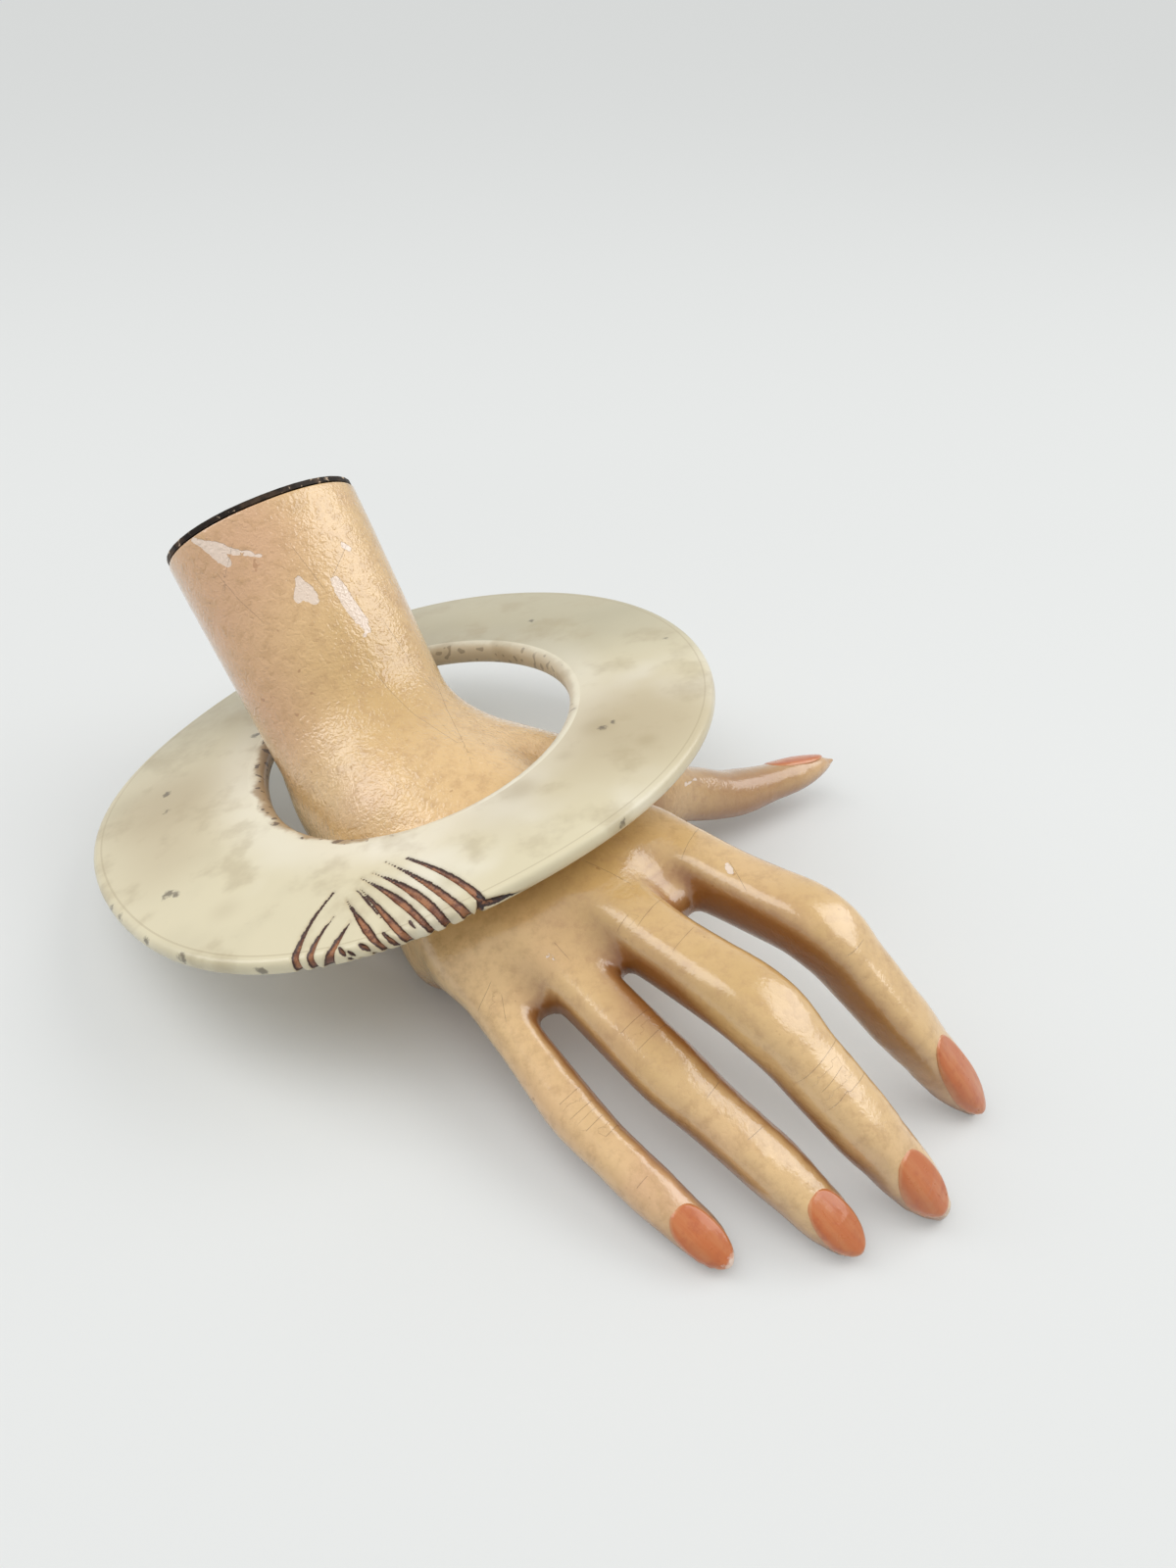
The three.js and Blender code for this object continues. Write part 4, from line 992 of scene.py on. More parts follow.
def nail_plane(limb, walked, turn):
    """Point of the finger's surface at this way along it and turn from its back, with the
    directions across, along and out of the surface there."""
    i = int(np.argmin(np.abs(limb["walked"] - walked)))
    axis = limb["point"][i]
    a = math.radians(turn)
    out = math.cos(a) * limb["top"][i] + math.sin(a) * limb["side"][i]
    touch = draw_onto((axis + 6 * out)[None], 4)[0]
    normal = unit(field_and_normal(touch[None], 1.5)[1][0])
    along = unit(limb["along"][i] - (limb["along"][i] @ normal) * normal)
    return touch, np.cross(along, normal), along, normal


limb_of = dict(zip(["index", "middle", "ring", "little"], LIMBS[-4:]), thumb=LIMBS[9])
for name, row in NAILS.items():
    print(name, "nail touches the finger at", nail_plane(limb_of[name], *row[:2])[0].round(1))

# %% The surface of a nail


def softened(rise, passes=20):
    """Heights on rings of points, each moved half way to the mean of its four neighbours, so
    that the nail mirrors light without ribs."""
    for _ in range(passes):
        wide = np.pad(rise, ((1, 1), (0, 0)), mode="edge")
        around = np.roll(rise, 1, 1) + np.roll(rise, -1, 1)
        rise = rise / 2 + (wide[2:] + wide[:-2] + around) / 8
    return rise


def nail_surface(limb, walked, turn, root, tip, half):
    """Rings of points from the middle of the nail to its outline x = half sin^(2/n),
    y = reach cos^(2/n), with n = 2.5 at the root and 1.9 at the tip, closed underneath."""
    touch, across, along, normal = nail_plane(limb, walked, turn)
    angle = np.linspace(0, 2 * np.pi, NAIL_POINTS + 1)[:-1]
    c, s = np.cos(angle), -np.sin(angle)
    power = np.where(c > 0, 2 / 1.9, 2 / 2.5)
    x = half * np.sign(s) * np.abs(s) ** power
    y = np.where(c > 0, tip, root) * np.sign(c) * np.abs(c) ** power
    share = np.concatenate([np.linspace(0.04, 0.8, 13), np.linspace(0.84, 1, 9)])
    flat = share[:, None, None] * np.stack([x, y], -1)[None]
    p = touch + flat[..., :1] * across + flat[..., 1:] * along
    p = (p + 2 * normal).reshape(-1, 3)
    for _ in range(5):
        value, slope = field_and_normal(p)
        p = p - normal * np.clip(value / np.maximum(slope @ normal, 0.5), -1.5, 1.5)[:, None]
    p = draw_onto(p, 3)
    rise = ((p - touch) @ normal).reshape(len(share), -1)
    smooth = softened(rise)
    p = p + (smooth - rise).reshape(-1, 1) * normal
    value, slope = field_and_normal(p)
    slope /= np.linalg.norm(slope, axis=1)[:, None]
    inward = (1 - share[:, None]) * np.hypot(x, y)[None]
    edge = np.clip(inward.ravel() / NAIL_EDGE, 0, 1)
    lift = NAIL_RAISED * np.sin(edge * np.pi / 2) - NAIL_SUNK * (1 - edge)
    under = p[-len(angle):] - 0.5 * slope[-len(angle):]
    top = p + lift[:, None] * slope
    return np.concatenate([top, under]), inward.ravel(), flat.reshape(-1, 2)


def ring_faces(rings, count):
    """Quads between rings of points, with one wide face in the first ring and one in the last."""
    i, j = np.meshgrid(np.arange(rings - 1), np.arange(count), indexing="ij")
    k = (j + 1) % count
    quads = np.stack([i * count + j, (i + 1) * count + j, (i + 1) * count + k, i * count + k], -1)
    first, last = np.arange(count), (rings - 1) * count + np.arange(count)[::-1]
    return quads.reshape(-1, 4).tolist(), first.tolist(), last.tolist()


trial, inward, flat = nail_surface(limb_of["middle"], *NAILS["middle"])
print("middle nail:", len(trial), "points, up to", inward.max().round(1), "mm from its edge")
# %% [markdown]
# ## Finish of the hand: gloss paint on moulded composition
# The casting was primed, sprayed with oil paint in a flesh colour and varnished. The brown in its
# recesses, under it near the table and on the thumb is painted shade. Age has turned the varnish
# uneven: pinker where it is thick, olive where it has yellowed. The whole coat has shrunk into a
# fine leathery wrinkle, about 2 mm from fold to fold, which breaks up every highlight. A scanned
# skin texture would bring a stranger's marks with it, so the paint is built up in layers, as the
# painter did.

# %% Flesh paint: sizes and colours
# Each noise: size in mm, detail and roughness. The real wrinkle is about 2 mm from fold to fold,
# its grain is finer than a picture shows and is drawn at 1 mm
PAINT_NOISE = dict(broad=(34, 3, 0.5), patchy=(9, 4, 0.6), mottled=(3.2, 5, 0.7),
                   fine=(1.2, 3, 0.6), pits=(2.4, 1, 0.5), wander=(9, 2, 0.5),
                   fold=(1.6, 2, 0.5), grain=(1.0, 4, 0.7), swell=(7, 2, 0.5))
PAINT = "e6c087"
PAINT_ROSY = "d3a082"
PAINT_OLIVE = "c9a362"
PAINT_TAN = "bd935f"
# The brown of the painted shade, which the pits in the paint share
PAINT_SHADED = "8f5214"
PAINT_RUBBED = "efdcbd"
PRIMER = "f2dfcf"
CRACK_BROWN = "6e4526"
SPECK_BROWN = "7c4026"
# How high each relief stands, in mm
FOLD_HEIGHT = 0.5
GRAIN_HEIGHT = 0.04
SWELL_HEIGHT = 0.05
CHIP_DEPTH = 0.12
CRACK_DEPTH = 0.08
print("flesh paint: noises of", [size for size, detail, rough in PAINT_NOISE.values()], "mm")

# %% [markdown]
# ### Gloss oil paint, sprayed and varnished
# To the eye the varnish gives sharp white glints that the wrinkle breaks up, over a warm colour
# that is never even. The paint's own gloss is soft, and the varnish is a clear coat above it with
# a high index, since old varnish mirrors more than a plain coat would.

# %% The flesh paint


def flesh_paint():
    """Colour: paint, then rosy and olive patches, the thumb's olive being painted shade, tan
    mottling, painted shade in closed-in places, dirt and painted shade in creases, pale rubbing on
    ridges, primer in chips, brown in hairlines. The gloss coat follows the wrinkle."""
    material, tree = new_material("flesh_gloss_paint_on_composition")
    place = add(tree, "TexCoord", out="Object")
    noise = {name: add(tree, "TexNoise", {"Vector": place, "Scale": 1000 / size,
                                          "Detail": detail, "Roughness": rough})
             for name, (size, detail, rough) in PAINT_NOISE.items()}
    stored = {name: add(tree, "Attribute", out="Fac", attribute_name=name)
              for name in hand_attributes}

    edge = stored["chip"]
    for value, amount in ((noise["patchy"], 2.4), (noise["fine"], 0.9)):
        edge = add(tree, "Math", {0: value, 1: amount, 2: edge}, operation="MULTIPLY_ADD")
    bare = add(tree, "MapRange", {0: edge, 1: 1.71, 2: 1.59}, interpolation_type="SMOOTHSTEP")
    line = add(tree, "Math", {0: noise["wander"], 1: 0.4, 2: stored["crack"]},
               operation="MULTIPLY_ADD")
    line = add(tree, "Math", {0: line, 1: 0.2, 2: 0.05}, operation="COMPARE")
    line = add(tree, "Math", {0: line, 1: stored["crack_fade"]}, operation="MULTIPLY")
    flecks = add(tree, "MapRange", {0: noise["fine"], 1: 0.54, 2: 0.62})
    flecks = add(tree, "Math", {0: flecks, 1: noise["patchy"]}, operation="MULTIPLY")
    ridge = add(tree, "MapRange", {0: stored["hollow"], 1: -0.24, 2: -0.5})
    rubbed = add(tree, "Math", {0: flecks, 1: ridge}, operation="MULTIPLY")
    # Dirt in the creases, in patches, which also stands in for the creases' shade
    dirt_and_crease_shade = add(tree, "Math", {0: stored["hollow"], 1: noise["patchy"]}, operation="MULTIPLY")
    colour = tinted(tree, PAINT, [
        (noise["broad"], 0.52, 0.78, 0.5, PAINT_ROSY),
        (stored["rosy"], 0, 1, 0.6, PAINT_ROSY),
        (noise["patchy"], 0.54, 0.8, 0.4, PAINT_OLIVE),
        # Olive patches, the one on the thumb being painted shade
        (stored["olive_and_thumb_shade"], 0, 1, 0.75, PAINT_OLIVE),
        (noise["mottled"], 0.42, 0.72, 0.55, PAINT_TAN),
        # Painted shade: brown where the hand or the table closes a point in, and in creases over
        # their dirt
        (stored["painted_shade"], 0.04, 0.65, 0.85, PAINT_SHADED),
        (dirt_and_crease_shade, 0.03, 0.2, 0.5, PAINT_SHADED),
        (noise["pits"], 0.77, 0.8, 0.4, PAINT_SHADED),
        (rubbed, 0.2, 0.45, 0.6, PAINT_RUBBED),
        (bare, 0, 1, 0.85, PRIMER),
        (stored["speck"], 0.08, -0.02, 0.9, SPECK_BROWN),
        (line, 0, 1, 0.5, CRACK_BROWN),
    ])
    dull = 0.24
    for value, amount in ((noise["patchy"], 0.16), (bare, 0.15), (stored["painted_shade"], 0.1)):
        dull = add(tree, "Math", {0: value, 1: amount, 2: dull}, operation="MULTIPLY_ADD")
    folds = add(tree, "Math", {0: noise["fold"], 1: 0.5}, operation="SUBTRACT")
    folds = add(tree, "Math", {0: folds}, operation="ABSOLUTE")
    folds = add(tree, "Math", {0: folds, 1: stored["leathery"]}, operation="MULTIPLY")
    height = 0.0
    for value, amount in ((folds, FOLD_HEIGHT), (noise["grain"], GRAIN_HEIGHT),
                          (noise["swell"], SWELL_HEIGHT), (bare, -CHIP_DEPTH),
                          (line, -CRACK_DEPTH)):
        height = add(tree, "Math", {0: value, 1: amount, 2: height}, operation="MULTIPLY_ADD")
    normal = add(tree, "Bump", {"Strength": 1.0, "Distance": MM, "Height": height})
    shader = add(tree, "BsdfPrincipled", {
        "Base Color": colour, "Roughness": dull, "IOR": 1.5, "Normal": normal,
        "Coat Weight": 1.0, "Coat IOR": 1.65, "Coat Roughness": 0.05, "Coat Normal": normal})
    add(tree, "OutputMaterial", {"Surface": shader})
    return material


flesh = flesh_paint()
print(flesh.name, "has", len(flesh.node_tree.nodes), "nodes")

# %% [markdown]
# ### Coral nail lacquer
# Brushed on in one coat over the flesh paint, so the brush has left streaks along the nail, and
# the coat is thin and pale at its edge. The free edges have rubbed through. To the eye it is an
# orange red with one smooth glint along each nail. A flat red with a gloss would look like
# plastic, so the streaks, the thin edge and the worn tip are drawn too.

# %% Nail lacquer
CORAL = "c46a32"
CORAL_PALE = "cf8550"
CORAL_DEEP = "b04f24"
CORAL_THIN = "d39c6c"


def nail_lacquer():
    """Coral, streaked along the nail by noise drawn out eight to one, thin near the edge and
    worn to primer at the tip."""
    material, tree = new_material("coral_nail_lacquer")
    place = add(tree, "TexCoord", out="Object")
    nail = add(tree, "Attribute", out="Vector", attribute_name="nail_place")
    stored = {name: add(tree, "Attribute", out="Fac", attribute_name=name)
              for name in ("inward", "worn")}
    drawn = add(tree, "Mapping", {"Vector": nail, "Scale": (1.0, 0.12, 1.0)})
    streaks = add(tree, "TexNoise", {"Vector": drawn, "Scale": 0.7, "Detail": 3.0})
    blotch = add(tree, "TexNoise", {"Vector": place, "Scale": 1000 / 3.2, "Detail": 4.0,
                                    "Roughness": 0.6})
    edge = add(tree, "Math", {0: blotch, 1: 1.2, 2: stored["inward"]}, operation="MULTIPLY_ADD")
    worn = add(tree, "Math", {0: blotch, 1: 1.4, 2: stored["worn"]}, operation="MULTIPLY_ADD")
    colour = tinted(tree, CORAL, [
        (streaks, 0.38, 0.68, 0.5, CORAL_PALE),
        (blotch, 0.5, 0.75, 0.6, CORAL_DEEP),
        (edge, 1.4, 0.7, 0.5, CORAL_THIN),
        (worn, 1.25, 1.45, 0.8, PRIMER),
    ])
    height = 0.0
    for value, amount in ((streaks, 0.05), (blotch, 0.06)):
        height = add(tree, "Math", {0: value, 1: amount, 2: height}, operation="MULTIPLY_ADD")
    dull = add(tree, "Math", {0: blotch, 1: 0.25, 2: 0.18}, operation="MULTIPLY_ADD")
    normal = add(tree, "Bump", {"Strength": 1.0, "Distance": MM, "Height": height})
    shader = add(tree, "BsdfPrincipled", {
        "Base Color": colour, "Roughness": dull, "IOR": 1.5, "Normal": normal,
        "Coat Weight": 0.6, "Coat Roughness": 0.08, "Coat Normal": normal})
    add(tree, "OutputMaterial", {"Surface": shader})
    return material


lacquer = nail_lacquer()
print(lacquer.name, "has", len(lacquer.node_tree.nodes), "nodes")

# %% [markdown]
# ## Finish of the bangle: cream lacquer on turned wood
# The disc was turned from a pale wood, filled and lacquered in ivory white. Handling has rounded it
# and greyed it. Brown polish has gathered round the hole, and towards the far left that amber is
# deepened as painted shade of the hole's wall. The cut strokes were rubbed with a red-brown stain,
# which is darkest along their edges. To the eye it is bone-like: a low, wide gloss over clouds that
# have no edge.

# %% Ivory lacquer: sizes and colours
# Each noise: size in mm, detail and roughness. The real peel of the lacquer is near 1 mm, and is
# drawn at 2.2 mm as the finest that a picture of the whole holds
IVORY_NOISE = dict(broad=(42, 3, 0.5), patchy=(10, 4, 0.6), cloud=(13, 4, 0.55),
                   ragged=(2.6, 5, 0.7), fine=(1.5, 3, 0.6), pricks=(1.8, 0, 0.5),
                   orange_peel=(2.2, 3, 0.5), swell=(11, 2, 0.5))
IVORY = "dfd5b5"
IVORY_GREEN = "ada588"
IVORY_MAUVE = "b5a380"
IVORY_PALE = "f4efdf"
CLOUD = "a4916a"
AMBER = "8f6a35"
POLISH_BROWN = "4a3524"
SMUDGE_BROWN = "4d4030"
STROKE_FLOOR = "a9714a"
STROKE_DEEP = "6d3c25"
STROKE_EDGE = "3c1b10"
STROKE_BURNT = "2c140d"
# A scribed line runs round the face: way from the hole and half width, in mm
RIM_LINE = (35.2, 0.2)
# How high each relief stands, in mm
PEEL_HEIGHT = 0.03
LACQUER_SWELL = 0.18
TORN_WOOD = 0.25
print("ivory lacquer: noises of", [size for size, detail, rough in IVORY_NOISE.values()], "mm")

# %% The ivory lacquer


def ivory_lacquer():
    """Colour: ivory with grey-green, mauve and cloudy patches, paler round the hole, amber with
    dark pricks near the hole, deepened towards the far left as painted shade of the hole's wall,
    smudges, then the strokes: stained wood, dark along their edges."""
    material, tree = new_material("ivory_lacquer_on_turned_wood")
    place = add(tree, "TexCoord", out="Object")
    noise = {name: add(tree, "TexNoise", {"Vector": place, "Scale": 1000 / size,
                                          "Detail": detail, "Roughness": rough})
             for name, (size, detail, rough) in IVORY_NOISE.items()}
    stored = {name: add(tree, "Attribute", out="Fac", attribute_name=name)
              for name in bangle_attributes}

    ring = add(tree, "Math", {0: noise["patchy"], 1: 7.0, 2: stored["from_hole"]},
               operation="MULTIPLY_ADD")
    # Amber polish round the hole, deepened towards the far left as painted shade of the hole's wall
    polish_and_shade = add(tree, "MapRange", {0: ring, 1: 7.0, 2: 4.5}, interpolation_type="SMOOTHSTEP")
    polish_and_shade = add(tree, "Math", {0: polish_and_shade, 1: stored["amber_side"]}, operation="MULTIPLY")
    pricked = add(tree, "MapRange", {0: noise["pricks"], 1: 0.65, 2: 0.7})
    pricked = add(tree, "Math", {0: pricked, 1: polish_and_shade}, operation="MULTIPLY")
    rim_line = add(tree, "Math", {0: stored["from_hole"], 1: RIM_LINE[0],
                                    2: RIM_LINE[1]}, operation="COMPARE")
    smudge = add(tree, "Math", {0: noise["ragged"], 1: 5.0, 2: stored["smudge"]},
                 operation="MULTIPLY_ADD")
    stroke = add(tree, "Math", {0: noise["fine"], 1: 0.5, 2: stored["carving"]},
                 operation="MULTIPLY_ADD")
    burnt = add(tree, "Math", {0: stored["burnt"], 1: noise["fine"]}, operation="MULTIPLY")
    wood = tinted(tree, STROKE_FLOOR, [
        (noise["ragged"], 0.42, 0.62, 1, STROKE_DEEP),
        (stroke, -0.2, 0.12, 1, STROKE_EDGE),
        (burnt, 0.3, 0.5, 1, STROKE_BURNT),
    ])
    cut = add(tree, "MapRange", {0: stroke, 1: 0.3, 2: 0.2})
    colour = tinted(tree, IVORY, [
        (noise["broad"], 0.48, 0.3, 0.7, IVORY_PALE),
        (noise["broad"], 0.52, 0.8, 0.5, IVORY_GREEN),
        # Paler in a band round the hole
        (stored["from_hole"], 16, 5, 0.45, IVORY_PALE),
        # Greener grey towards the far side
        (stored["far_side"], 0, 1, 0.7, IVORY_GREEN),
        (noise["patchy"], 0.58, 0.85, 0.4, IVORY_MAUVE),
        (stored["near_left"], 0, 1, 0.7, IVORY_MAUVE),
        (noise["cloud"], 0.5, 0.7, 0.36, CLOUD),
        (stored["stain"], 0.1, 1, 0.45, CLOUD),
        (polish_and_shade, 0, 1, 0.8, AMBER),
        (pricked, 0.2, 0.5, 0.8, POLISH_BROWN),
        (rim_line, 0, 1, 0.3, CLOUD),
        (smudge, 3.1, 2.1, 0.75, SMUDGE_BROWN),
        (stroke, 0.95, 0.25, 0.15, AMBER),
        (cut, 0, 1, 1, wood),
    ])
    dull = 0.28
    for value, amount in ((noise["patchy"], 0.16), (cut, 0.2)):
        dull = add(tree, "Math", {0: value, 1: amount, 2: dull}, operation="MULTIPLY_ADD")
    rough_cut = add(tree, "Math", {0: cut, 1: noise["fine"]}, operation="MULTIPLY")
    height = 0.0
    for value, amount in ((noise["orange_peel"], PEEL_HEIGHT),
                          (noise["swell"], LACQUER_SWELL), (rough_cut, -TORN_WOOD)):
        height = add(tree, "Math", {0: value, 1: amount, 2: height}, operation="MULTIPLY_ADD")
    normal = add(tree, "Bump", {"Strength": 1.0, "Distance": MM, "Height": height})
    shader = add(tree, "BsdfPrincipled", {
        "Base Color": colour, "Roughness": dull, "IOR": 1.5, "Normal": normal,
        "Coat Weight": 0.4, "Coat Roughness": 0.12})
    add(tree, "OutputMaterial", {"Surface": shader})
    return material


# %% [markdown]
# ## Metal and wood of the wrist
# The plate is sheet steel, blackened in hot oil and since rubbed, with flecks of the flesh paint
# on its edge. To the eye it is a near black that shines softly, and goes brown where it is
# rubbed. Plain black paint would look flat, so the metal shows through it.

# %% Blackened plate
BLACKENED = "2a2420"
RUBBED_BROWN = "5c4a3c"
FLECK = "bfa78d"
RUB_MM = 5
FLECK_MM = 1.8


def blackened_steel():
    """Oil-blackened sheet: nearly black, brown where it is rubbed, with specks of flesh paint."""
    material, tree = new_material("oil_blackened_steel")
    place = add(tree, "TexCoord", out="Object")
    worn = add(tree, "TexNoise", {"Vector": place, "Scale": 1000 / RUB_MM, "Detail": 4.0})
    specks = add(tree, "TexNoise", {"Vector": place, "Scale": 1000 / FLECK_MM, "Detail": 3.0})
    fleck = add(tree, "MapRange", {0: specks, 1: 0.63, 2: 0.67})
    colour = tinted(tree, BLACKENED, [
        (worn, 0.45, 0.7, 1, RUBBED_BROWN),
        (fleck, 0, 1, 1, FLECK),
    ])
    metallic = add(tree, "MapRange", {0: fleck, 3: 0.8, 4: 0.0})
    dull = add(tree, "Math", {0: worn, 1: 0.3, 2: 0.35}, operation="MULTIPLY_ADD")
    normal = add(tree, "Bump", {"Strength": 1.0, "Distance": 0.1 * MM, "Height": fleck})
    shader = add(tree, "BsdfPrincipled", {"Base Color": colour, "Metallic": metallic,
                                          "Roughness": dull, "Normal": normal})
    add(tree, "OutputMaterial", {"Surface": shader})
    return material


plate_black = blackened_steel()
print(plate_black.name, "has", len(plate_black.node_tree.nodes), "nodes")

# %% [markdown]
# ### Bright steel
# The screws are turned and the wires are drawn, both from mild steel left bare. To the eye both
# are grey mirrors, broken by fine tool marks and browned in spots by tarnish. The real marks are
# a few hundredths of a millimetre wide, and are drawn ten times as coarse.

# %% Screws and wires
SCREW_GREY = "a3a09a"
WIRE_GREY = "8c8a86"
TARNISH = "6d655a"
TARNISH_MM = 4


def bright_steel(name, colour_code, grain_mm):
    """Drawn or turned steel, all metal: its roughness follows fine streaks, and tarnish browns
    it in spots."""
    material, tree = new_material(name)
    place = add(tree, "TexCoord", out="Object")
    grain = add(tree, "TexNoise", {"Vector": place, "Scale": 1000 / grain_mm, "Detail": 4.0})
    tarnish = add(tree, "TexNoise", {"Vector": place, "Scale": 1000 / TARNISH_MM, "Detail": 3.0})
    colour = tinted(tree, colour_code, [(tarnish, 0.5, 0.75, 0.5, TARNISH)])
    dull = add(tree, "Math", {0: grain, 1: 0.25, 2: 0.28}, operation="MULTIPLY_ADD")
    normal = add(tree, "Bump", {"Strength": 0.4, "Distance": 0.02 * MM, "Height": grain})
    shader = add(tree, "BsdfPrincipled", {"Base Color": colour, "Metallic": 1.0,
                                          "Roughness": dull, "Normal": normal})
    add(tree, "OutputMaterial", {"Surface": shader})
    return material


screw_steel = bright_steel("turned_screw_steel", SCREW_GREY, 0.6)
wire_steel = bright_steel("drawn_steel_wire", WIRE_GREY, 0.4)
print(screw_steel.name, "and", wire_steel.name)

# %% [markdown]
# ### Bare pine
# The plug was turned from a pine stick and left bare, with its end grain facing the plate. To the
# eye it is matt and warm, with rings round its heart. It is closed in by the plate, and so it
# gets two patterns and no more.

# %% Plug wood
PINE = "b58c62"
LATE_WOOD = "8a6038"
PORE = "5f3f24"
RING_SCALE_MM = 50
PORE_MM = 0.8


def plug_softwood():
    """Pine across the grain: rings 2.5 mm apart round the heart, darker in the late wood."""
    material, tree = new_material("bare_turned_pine")
    place = add(tree, "TexCoord", out="Object")
    rings = add(tree, "TexWave", {"Vector": place, "Scale": 1000 / RING_SCALE_MM, "Distortion": 2.0,
                                  "Detail": 3.0}, out="Fac", wave_type="RINGS",
                rings_direction="Z")
    pores = add(tree, "TexNoise", {"Vector": place, "Scale": 1000 / PORE_MM, "Detail": 2.0})
    colour = tinted(tree, PINE, [
        (rings, 0.3, 0.9, 1, LATE_WOOD),
        (pores, 0.6, 0.72, 0.5, PORE),
    ])
    normal = add(tree, "Bump", {"Strength": 0.6, "Distance": 0.1 * MM, "Height": rings})
    shader = add(tree, "BsdfPrincipled", {"Base Color": colour, "Roughness": 0.8,
                                          "Normal": normal})
    add(tree, "OutputMaterial", {"Surface": shader})
    return material


pine = plug_softwood()
print(pine.name, "has", len(pine.node_tree.nodes), "nodes")
# %% [markdown]
# ## Putting the pieces in the scene
# The painted hand and the carved disc take the place of their CAD meshes. The nails come on top
# of the hand. A nail is worn most on the little finger, which the others don't shield.

# %% The hand and its nails
hand = put_mesh("painted_hand", hand_points, hand_faces, "hand", flesh, hand_attributes)
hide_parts("hand_casting")

WORN_TIP = {"index": 0.3, "middle": 0.1, "ring": 0.15, "little": 0.95, "thumb": 0.3}
for name, row in NAILS.items():
    points, inward, flat = nail_surface(limb_of[name], *row)
    quads, first, last = ring_faces(len(points) // NAIL_POINTS, NAIL_POINTS)
    reach = flat[:, 1] / row[3]
    padding = len(points) - len(inward)
    nail = put_mesh(f"{name}_nail", points, quads + [first, last], "hand", lacquer, dict(
        inward=np.pad(inward, (0, padding)),
        worn=np.pad(np.clip(reach, 0, 1) ** 3 * WORN_TIP[name], (0, padding))))
    layer = nail.data.attributes.new("nail_place", "FLOAT_VECTOR", "POINT")
    spread = np.zeros((len(points), 3), np.float32)
    spread[:len(flat), :2] = flat
    layer.data.foreach_set("vector", spread.ravel())

# %% [markdown]
# ### Where the lacquer changes over the bangle
# The disc is greener grey towards its far side, mauve in patches at the front, and amber round the
# hole, where the amber towards the far left is also painted shade of the hole's wall. Smudges of
# old polish cling to its rim. These are places and not patterns, so each point of the mesh stores
# how near it is to them. All are in the plane of the disc.

# %% Marks on the bangle
# Smudges: place and size in mm
SMUDGES = [[-61.5, -4.5, 0.9], [-58.7, -13.8, 0.7], [-46.3, -49.5, 1.3], [-44.5, -50.4, 0.9],
           [-61.8, -48.2, 0.7], [-58.2, -52.7, 0.8], [-48.2, -63.1, 0.8], [-37.6, -71.7, 1.1],
           [-18.5, -80.6, 1.0], [52.9, -19.6, 0.7], [55.4, -17.5, 0.6], [33, 48, 0.5],
           [-42.1, 16.7, 0.9], [57, -55.6, 0.6], [70, 20, 0.5]]
# Faint round stains, and mauve patches on the near left: place, size and strength
STAINS = [[34, -38, 0, 5, 0.9], [52, -18, 0, 5, 0.8], [44, -28, 0, 3, 0.6],
          [-52, 28, 0, 6, 0.6], [-30, -60, 0, 5, 0.5], [20, -66, 0, 4, 0.5],
          [63, -28, 0, 3, 0.8]]
NEAR_LEFT = [[-60, -10, 0, 18, 0.9], [-50, -36, 0, 16, 0.5], [60, -20, 0, 24, 1.0],
             [30, -44, 0, 16, 0.4]]
# The greying starts 5 mm before the middle line and is full 50 mm on
GREYED_FROM = -5
GREYED_WAY = 50
# The amber is strongest at this bearing, towards the far left, where it is also painted shade of
# the hole's wall; by this mean and swing
AMBER_AND_SHADE_AT = math.radians(120)
AMBER_MEAN = 0.65
AMBER_SWING = 0.6
# The strokes right of and below this corner are burnt
BURNT_FROM = (26.2, -68)

smudge = np.full(len(plan), FAR_OFF)
for x, y, size in SMUDGES:
    smudge = np.minimum(smudge, np.hypot(plan[:, 0] - x, plan[:, 1] - y) - size)
turn = np.arctan2(plan[:, 1], plan[:, 0])
raised = np.pad(plan, ((0, 0), (0, 1)))
# Amber round the hole by bearing: polish stain, and painted shade of the hole's wall towards the
# far left
amber = AMBER_MEAN + AMBER_SWING * np.cos(turn - AMBER_AND_SHADE_AT)
bangle_attributes["smudge"] = smudge
bangle_attributes["far_side"] = np.clip((plan[:, 1] - GREYED_FROM) / GREYED_WAY, 0, 1)
bangle_attributes["near_left"] = soft_spots(NEAR_LEFT, raised)
bangle_attributes["amber_side"] = np.clip(amber, 0.2, 1)
bangle_attributes["stain"] = soft_spots(STAINS, raised)
burnt = (plan[:, 0] > BURNT_FROM[0]) & (plan[:, 1] < BURNT_FROM[1])
bangle_attributes["burnt"] = burnt * 1.0
print("bangle stores", sorted(bangle_attributes), "with", burnt.sum(), "burnt points")

# %% The bangle in the scene
bangle = put_mesh("cream_bangle", bangle_points, bangle_quads, "bangle", ivory_lacquer(),
                  bangle_attributes)
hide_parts("bangle")
print(bangle.name, "has", len(bangle.data.polygons), "faces")

# %% [markdown]
# ### Pieces that keep their CAD mesh
# The plate, the plug, the screws and the wires are plain machined shapes, so their CAD meshes are
# right already. They only get their finishes.

# %% Finishes of the pieces that keep their CAD mesh


def refinish(node, material):
    """The node's own mesh with this material in every slot."""
    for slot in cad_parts[node].material_slots:
        slot.material = material


refinish("wrist_plate", plate_black)
refinish("wrist_plug", pine)
for number in (1, 2, 3):
    refinish(f"plate_screw_{number}", screw_steel)
for name in NAILS:
    refinish(f"{name}_wire", wire_steel)
print("refinished: wrist_plate, wrist_plug, 3 screws and", len(NAILS), "wires")

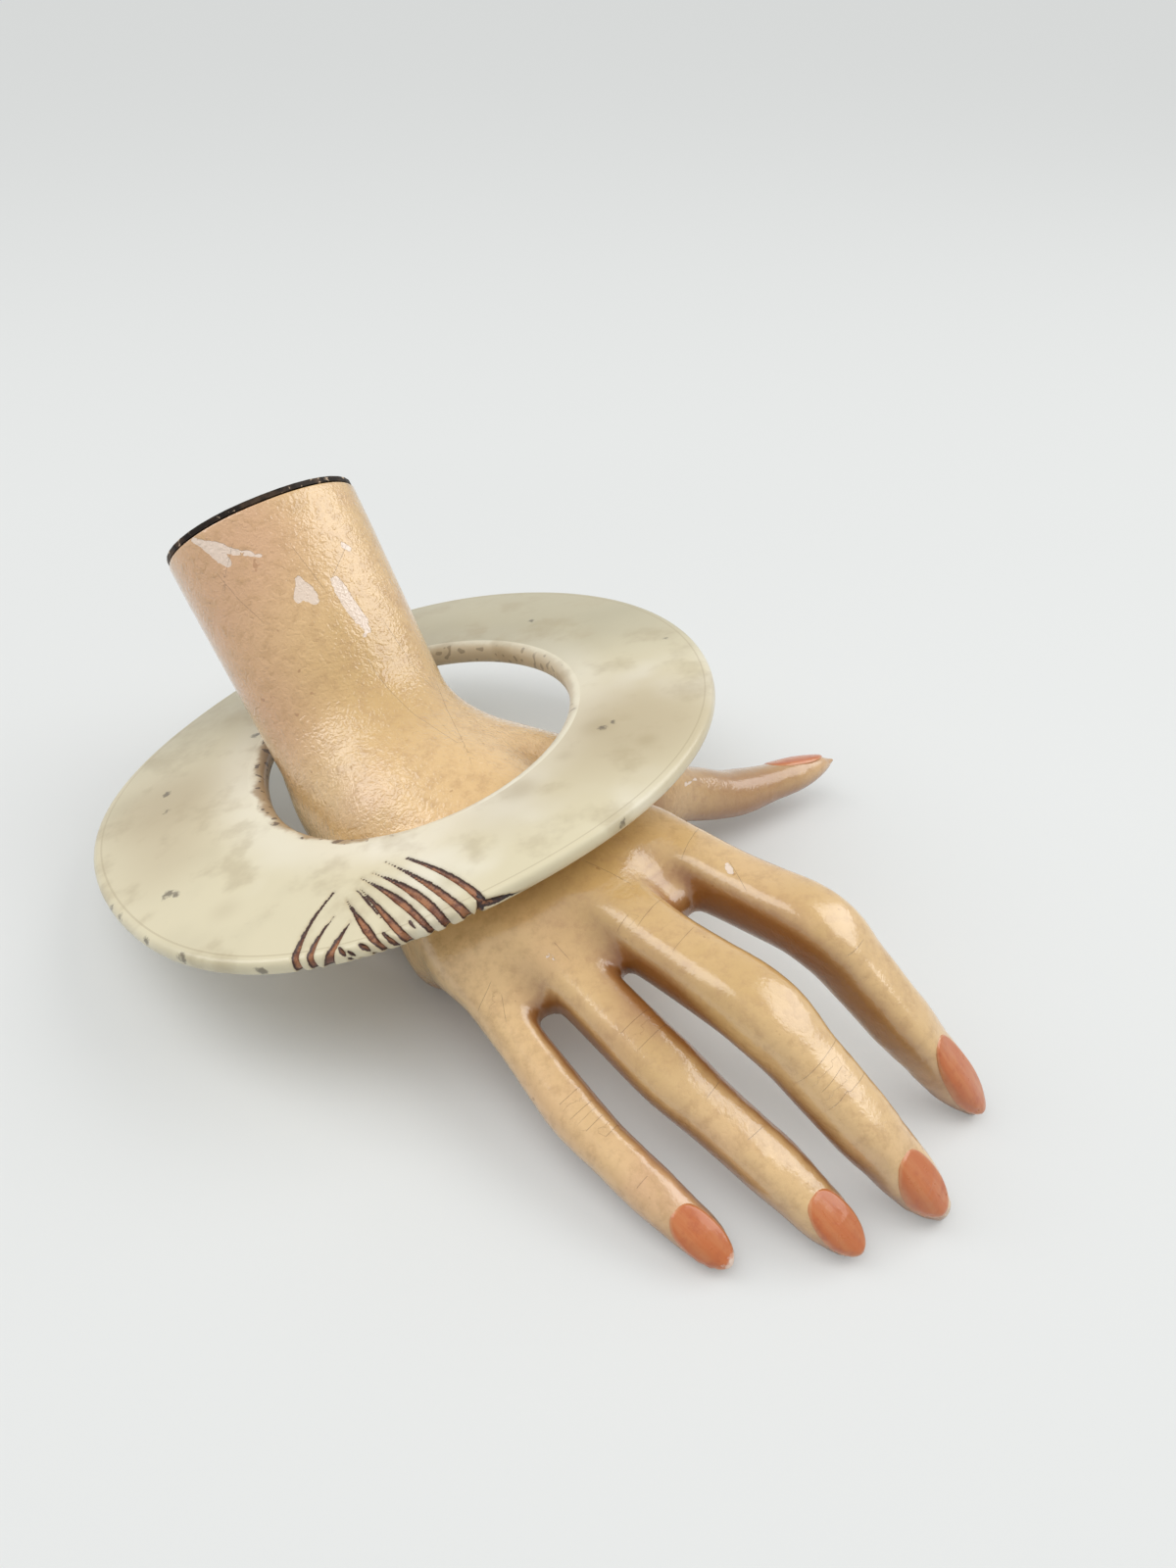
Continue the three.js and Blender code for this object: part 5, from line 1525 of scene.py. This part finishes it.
# %% [markdown]
# ## Table and light
# A white photo table: a wide pale sheet under an even white surround. The sheet is matt card. One
# large soft box stands to the right, a narrower one to the left, and a glow comes from above.
# The gloss shows the two boxes, and the white table fills the shadows from below. A single sun
# would give hard shadows, which the photograph hasn't.

# %% The table
TABLE_HALF = 8
# The seen glow is a share of 0.05 up to 0.03 m from the middle, and 0.75 from 0.3 m on
GLOW_WAY = (0.03, 0.3)
GLOW_SHARE = (0.05, 0.75)


def table_sheet():
    """Matt white sheet. The camera also sees it glow a little, more so far from the hand, as a
    lit sweep does."""
    material, tree = new_material("matt_white_table")
    place = add(tree, "TexCoord", out="Object")
    away = add(tree, "VectorMath", {0: place}, out="Value", operation="LENGTH")
    share = add(tree, "MapRange", {0: away, 1: GLOW_WAY[0], 2: GLOW_WAY[1],
                                    3: GLOW_SHARE[0], 4: GLOW_SHARE[1]})
    seen = add(tree, "LightPath", out="Is Camera Ray")
    share = add(tree, "Math", {0: share, 1: seen}, operation="MULTIPLY")
    sheet = add(tree, "BsdfPrincipled", {"Base Color": hex_colour("e4e6e5"), "Roughness": 0.9,
                                         "Specular IOR Level": 0.1})
    glow = add(tree, "Emission", {"Color": hex_colour("e9ebea"), "Strength": 1.0})
    mixed = add(tree, "MixShader", {0: share, 1: sheet, 2: glow})
    add(tree, "OutputMaterial", {"Surface": mixed})
    return material


table_mesh = bpy.data.meshes.new("table")
corners = [(x * TABLE_HALF, y * TABLE_HALF, 0) for x, y in ((-1, -1), (1, -1), (1, 1), (-1, 1))]
table_mesh.from_pydata(corners, [], [(0, 1, 2, 3)])
table_mesh.materials.append(table_sheet())
table = bpy.data.objects.new("table", table_mesh)
bpy.context.scene.collection.objects.link(table)
print("table:", 2 * TABLE_HALF, "m square")

# %% The surround: dim to light by, pale where it is seen or mirrored
world = bpy.data.worlds.new("surround")
bpy.context.scene.world = world
world.use_nodes = True
sky = world.node_tree
sky.nodes.clear()
seen = 0.0
for ray in ("Is Camera Ray", "Is Glossy Ray", "Is Transmission Ray"):
    seen = add(sky, "Math", {0: add(sky, "LightPath", out=ray), 1: seen}, operation="MAXIMUM")
light = add(sky, "Background", {"Color": hex_colour("ffffff"), "Strength": 0.33})
backdrop = add(sky, "Background", {"Color": hex_colour("e2e4e3"), "Strength": 1.0})
choice = add(sky, "MixShader", {0: seen, 1: light, 2: backdrop})
add(sky, "OutputWorld", {"Surface": choice})
print("surround has", len(sky.nodes), "nodes")

# %% [markdown]
# ### Lamps
# The photograph's highlights say where the lamps are: each glint on the arm and fingers sits
# where the surface would mirror a box to the camera. The boxes were placed from those. The glow
# from above only fills, and isn't mirrored.

# %% The lamps
AIMED_AT = np.array([0.02, -0.03, 0.03])


def soft_box(name, azimuth, elevation, distance, width, height, watts):
    """A rectangular lamp at this bearing from the hand (90 is to the right), facing it."""
    data = bpy.data.lights.new(name, "AREA")
    data.shape = "RECTANGLE"
    data.size, data.size_y, data.energy = width, height, watts
    lamp = bpy.data.objects.new(name, data)
    a, e = math.radians(azimuth), math.radians(elevation)
    out = np.array([math.sin(a) * math.cos(e), math.cos(a) * math.cos(e), math.sin(e)])
    lamp.location = AIMED_AT + distance * out
    lamp.rotation_euler = (math.radians(90 - elevation), 0, math.radians(180 - azimuth))
    bpy.context.scene.collection.objects.link(lamp)
    return lamp


# Bearing and height in degrees, then distance, width and height in m, and watts
soft_box("right_soft_box", 76, 43, 0.9, 0.8, 0.7, 4.0)
soft_box("left_soft_box", 282, 46, 0.9, 0.45, 0.75, 2.3)
ceiling = soft_box("ceiling_glow", 200, 75, 1.1, 0.8, 0.8, 4.4)
ceiling.visible_glossy = False
